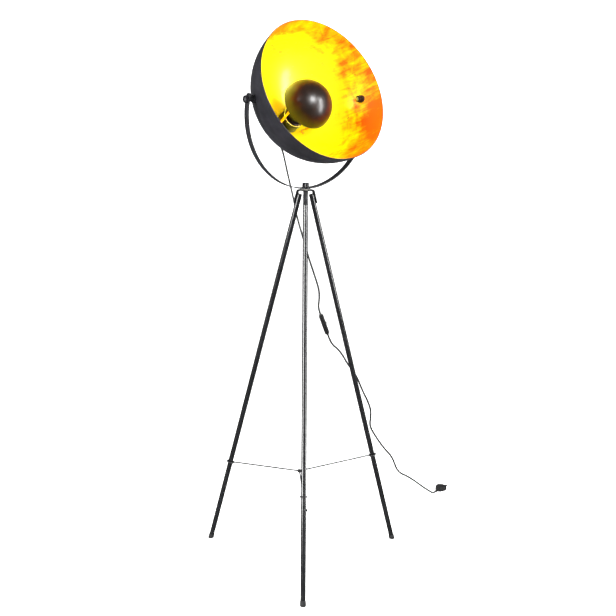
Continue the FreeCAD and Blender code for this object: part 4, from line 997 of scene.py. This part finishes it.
knobSettings = {
    "radius": 10.0, "height": 7.4, "flutes": 16, "pinch": 0.75, "chamfer": 0.9, "recess": 6.2,
    "recessDepth": 2.2, "bore": 5.1, "low": 211.7,
}
nutSettings = {
    "radius": 9.35, "height": 11.5, "flutes": 18, "pinch": 0.75, "chamfer": 0.8, "recess": 5.0,
    "recessDepth": 0.5, "bore": 4.1, "low": size["bossTop"] + size["runningGap"],
}
knob = thumbNut("tiltKnobLeft", knobSettings)
knobRight = twinOf(knob, "tiltKnobRight")
for piece, angle, side in ((knob, 90, "left"), (knobRight, -90, "right")):
    place = headFrame @ turned("Y", angle) @ shifted(0, 0, knobSettings["low"])
    worn(placed(piece, place), blackKnob, "black_knob", "tilt_knob_" + side, "tilt_knob_" + side)
swivelNut = thumbNut("swivelNut", nutSettings)
worn(
    placed(swivelNut, standFrame @ shifted(0, 0, nutSettings["low"])), blackKnob, "black_knob",
    "swivel_knob", "swivel_nut",
)
print("thumb nuts are made")

hubSettings = {
    "disc": [(4.1, 1070), (23.3, 1070), (23.7, 1070.4), (23.7, 1072.5), (23.2, 1073), (4.1, 1073)],
    "ear": [(15.0, 1071.8), (21.4, 1071.7), (23.3, 1071.0), (24.6, 1069.4), (34.46, 1034.5)],
    "earWidth": 14.0, "earThickness": 2.4, "earCorner": 3.0, "earEdge": 0.35,
}
plate = spun("hubPlate", hubSettings["disc"], 96)
worn(placed(plate, hubFrame), blackPlate, "black_plate", "stand", "hub_plate")
ear = strap(
    "hubEar",
    *(hubSettings[key] for key in ("ear", "earWidth", "earThickness", "earCorner", "earEdge")),
)
for step, side in enumerate(legFrames):
    twin = twinOf(ear, "hubEar" + side.capitalize())
    worn(placed(twin, hubFrame @ turned("Z", 120 * step)), blackPlate, "black_plate", "stand")
bpy.data.objects.remove(ear)

tubeRadius = size["tube"] / 2
boreRadius = tubeRadius - size["tubeWall"]
tubeSettings = {"start": 3.5, "edge": 0.4}
tubeProfile = [
    (boreRadius, tubeSettings["start"]),
    (tubeRadius, tubeSettings["start"]),
    (tubeRadius, legLength - tubeSettings["edge"]),
    (tubeRadius - tubeSettings["edge"], legLength),
    (boreRadius, legLength),
]
tube = spun("legTube", tubeProfile, 64)
footSettings = {
    "cutAt": 0.02,
    "profile": [
        (0, -7), (8.15, -7), (8.15, 8.6), (7.85, 9.0), (7.85, 9.6), (8.15, 10.0), (8.15, 13.1),
        (7.75, 13.9), (7.3, 14.0), (7.25, 13.6), (7.25, 3.5), (0, 3.5),
    ],
}
foot = placed(spun("footCap", footSettings["profile"], 64, closed=False), legFrames["front"])
bpy.ops.object.mode_set(mode="EDIT")
bpy.ops.mesh.select_all(action="SELECT")
bpy.ops.mesh.bisect(
    plane_co=(0, 0, footSettings["cutAt"] * mm), plane_no=(0, 0, 1), use_fill=True, clear_inner=True,
)
tidyMesh()
smoothed(foot)
screwSettings = {
    "belowTop": 15.0,
    "profile": [
        (0, 9.0), (2.4, 9.0), (2.5, 9.65), (4.5, 9.65), (4.5, 10.5), (4.1, 11.3), (3.2, 12.0),
        (2.2, 12.25), (1.9, 11.7), (0, 11.6),
    ],
}
stopSettings = {
    "drop": 34.0, "levels": {"front": 275.3, "right": 278.5, "left": 253.0},
    "profile": [
        (0, 4.4), (1.8, 4.4), (1.8, 7.25), (3.4, 7.25), (3.4, 8.9), (3.0, 9.8), (2.2, 10.5),
        (1.4, 10.65), (1.2, 10.2), (0, 10.1),
    ],
}
legScrew = spun("legScrew", screwSettings["profile"], 48, closed=False)
stopScrew = spun("stopScrew", stopSettings["profile"], 48, closed=False)
for step, (side, legFrame) in enumerate(legFrames.items()):
    worn(
        placed(twinOf(tube, "leg" + side.capitalize()), legFrame), blackTube, "black_tube",
        "stand", "leg_" + side,
    )
    # every foot is the front one, turned about the tripod's axis
    around = standFrame @ turned("Z", 120 * step) @ standFrame.inverted()
    worn(
        placed(twinOf(foot, "foot" + side.capitalize()), around), footRubber, "foot_rubber",
        "stand", "foot_cap_" + side,
    )
    screwPlace = legFrame @ shifted(0, 0, legLength - screwSettings["belowTop"]) @ turned("Y", 90)
    worn(
        placed(twinOf(legScrew, "legScrew" + side.capitalize()), screwPlace), darkScrew,
        "dark_screw", "stand", "leg_screw_" + side,
    )
    level = (stopSettings["levels"][side] - stopSettings["drop"]) / math.cos(math.radians(splay))
    stopPlace = legFrame @ shifted(0, 0, level) @ turned("X", -90)
    worn(
        placed(twinOf(stopScrew, "stopScrew" + side.capitalize()), stopPlace), darkScrew,
        "dark_screw", "stand", "stop_screw_" + side,
    )
for model in (tube, foot, legScrew, stopScrew):
    bpy.data.objects.remove(model)
print("tripod is made")
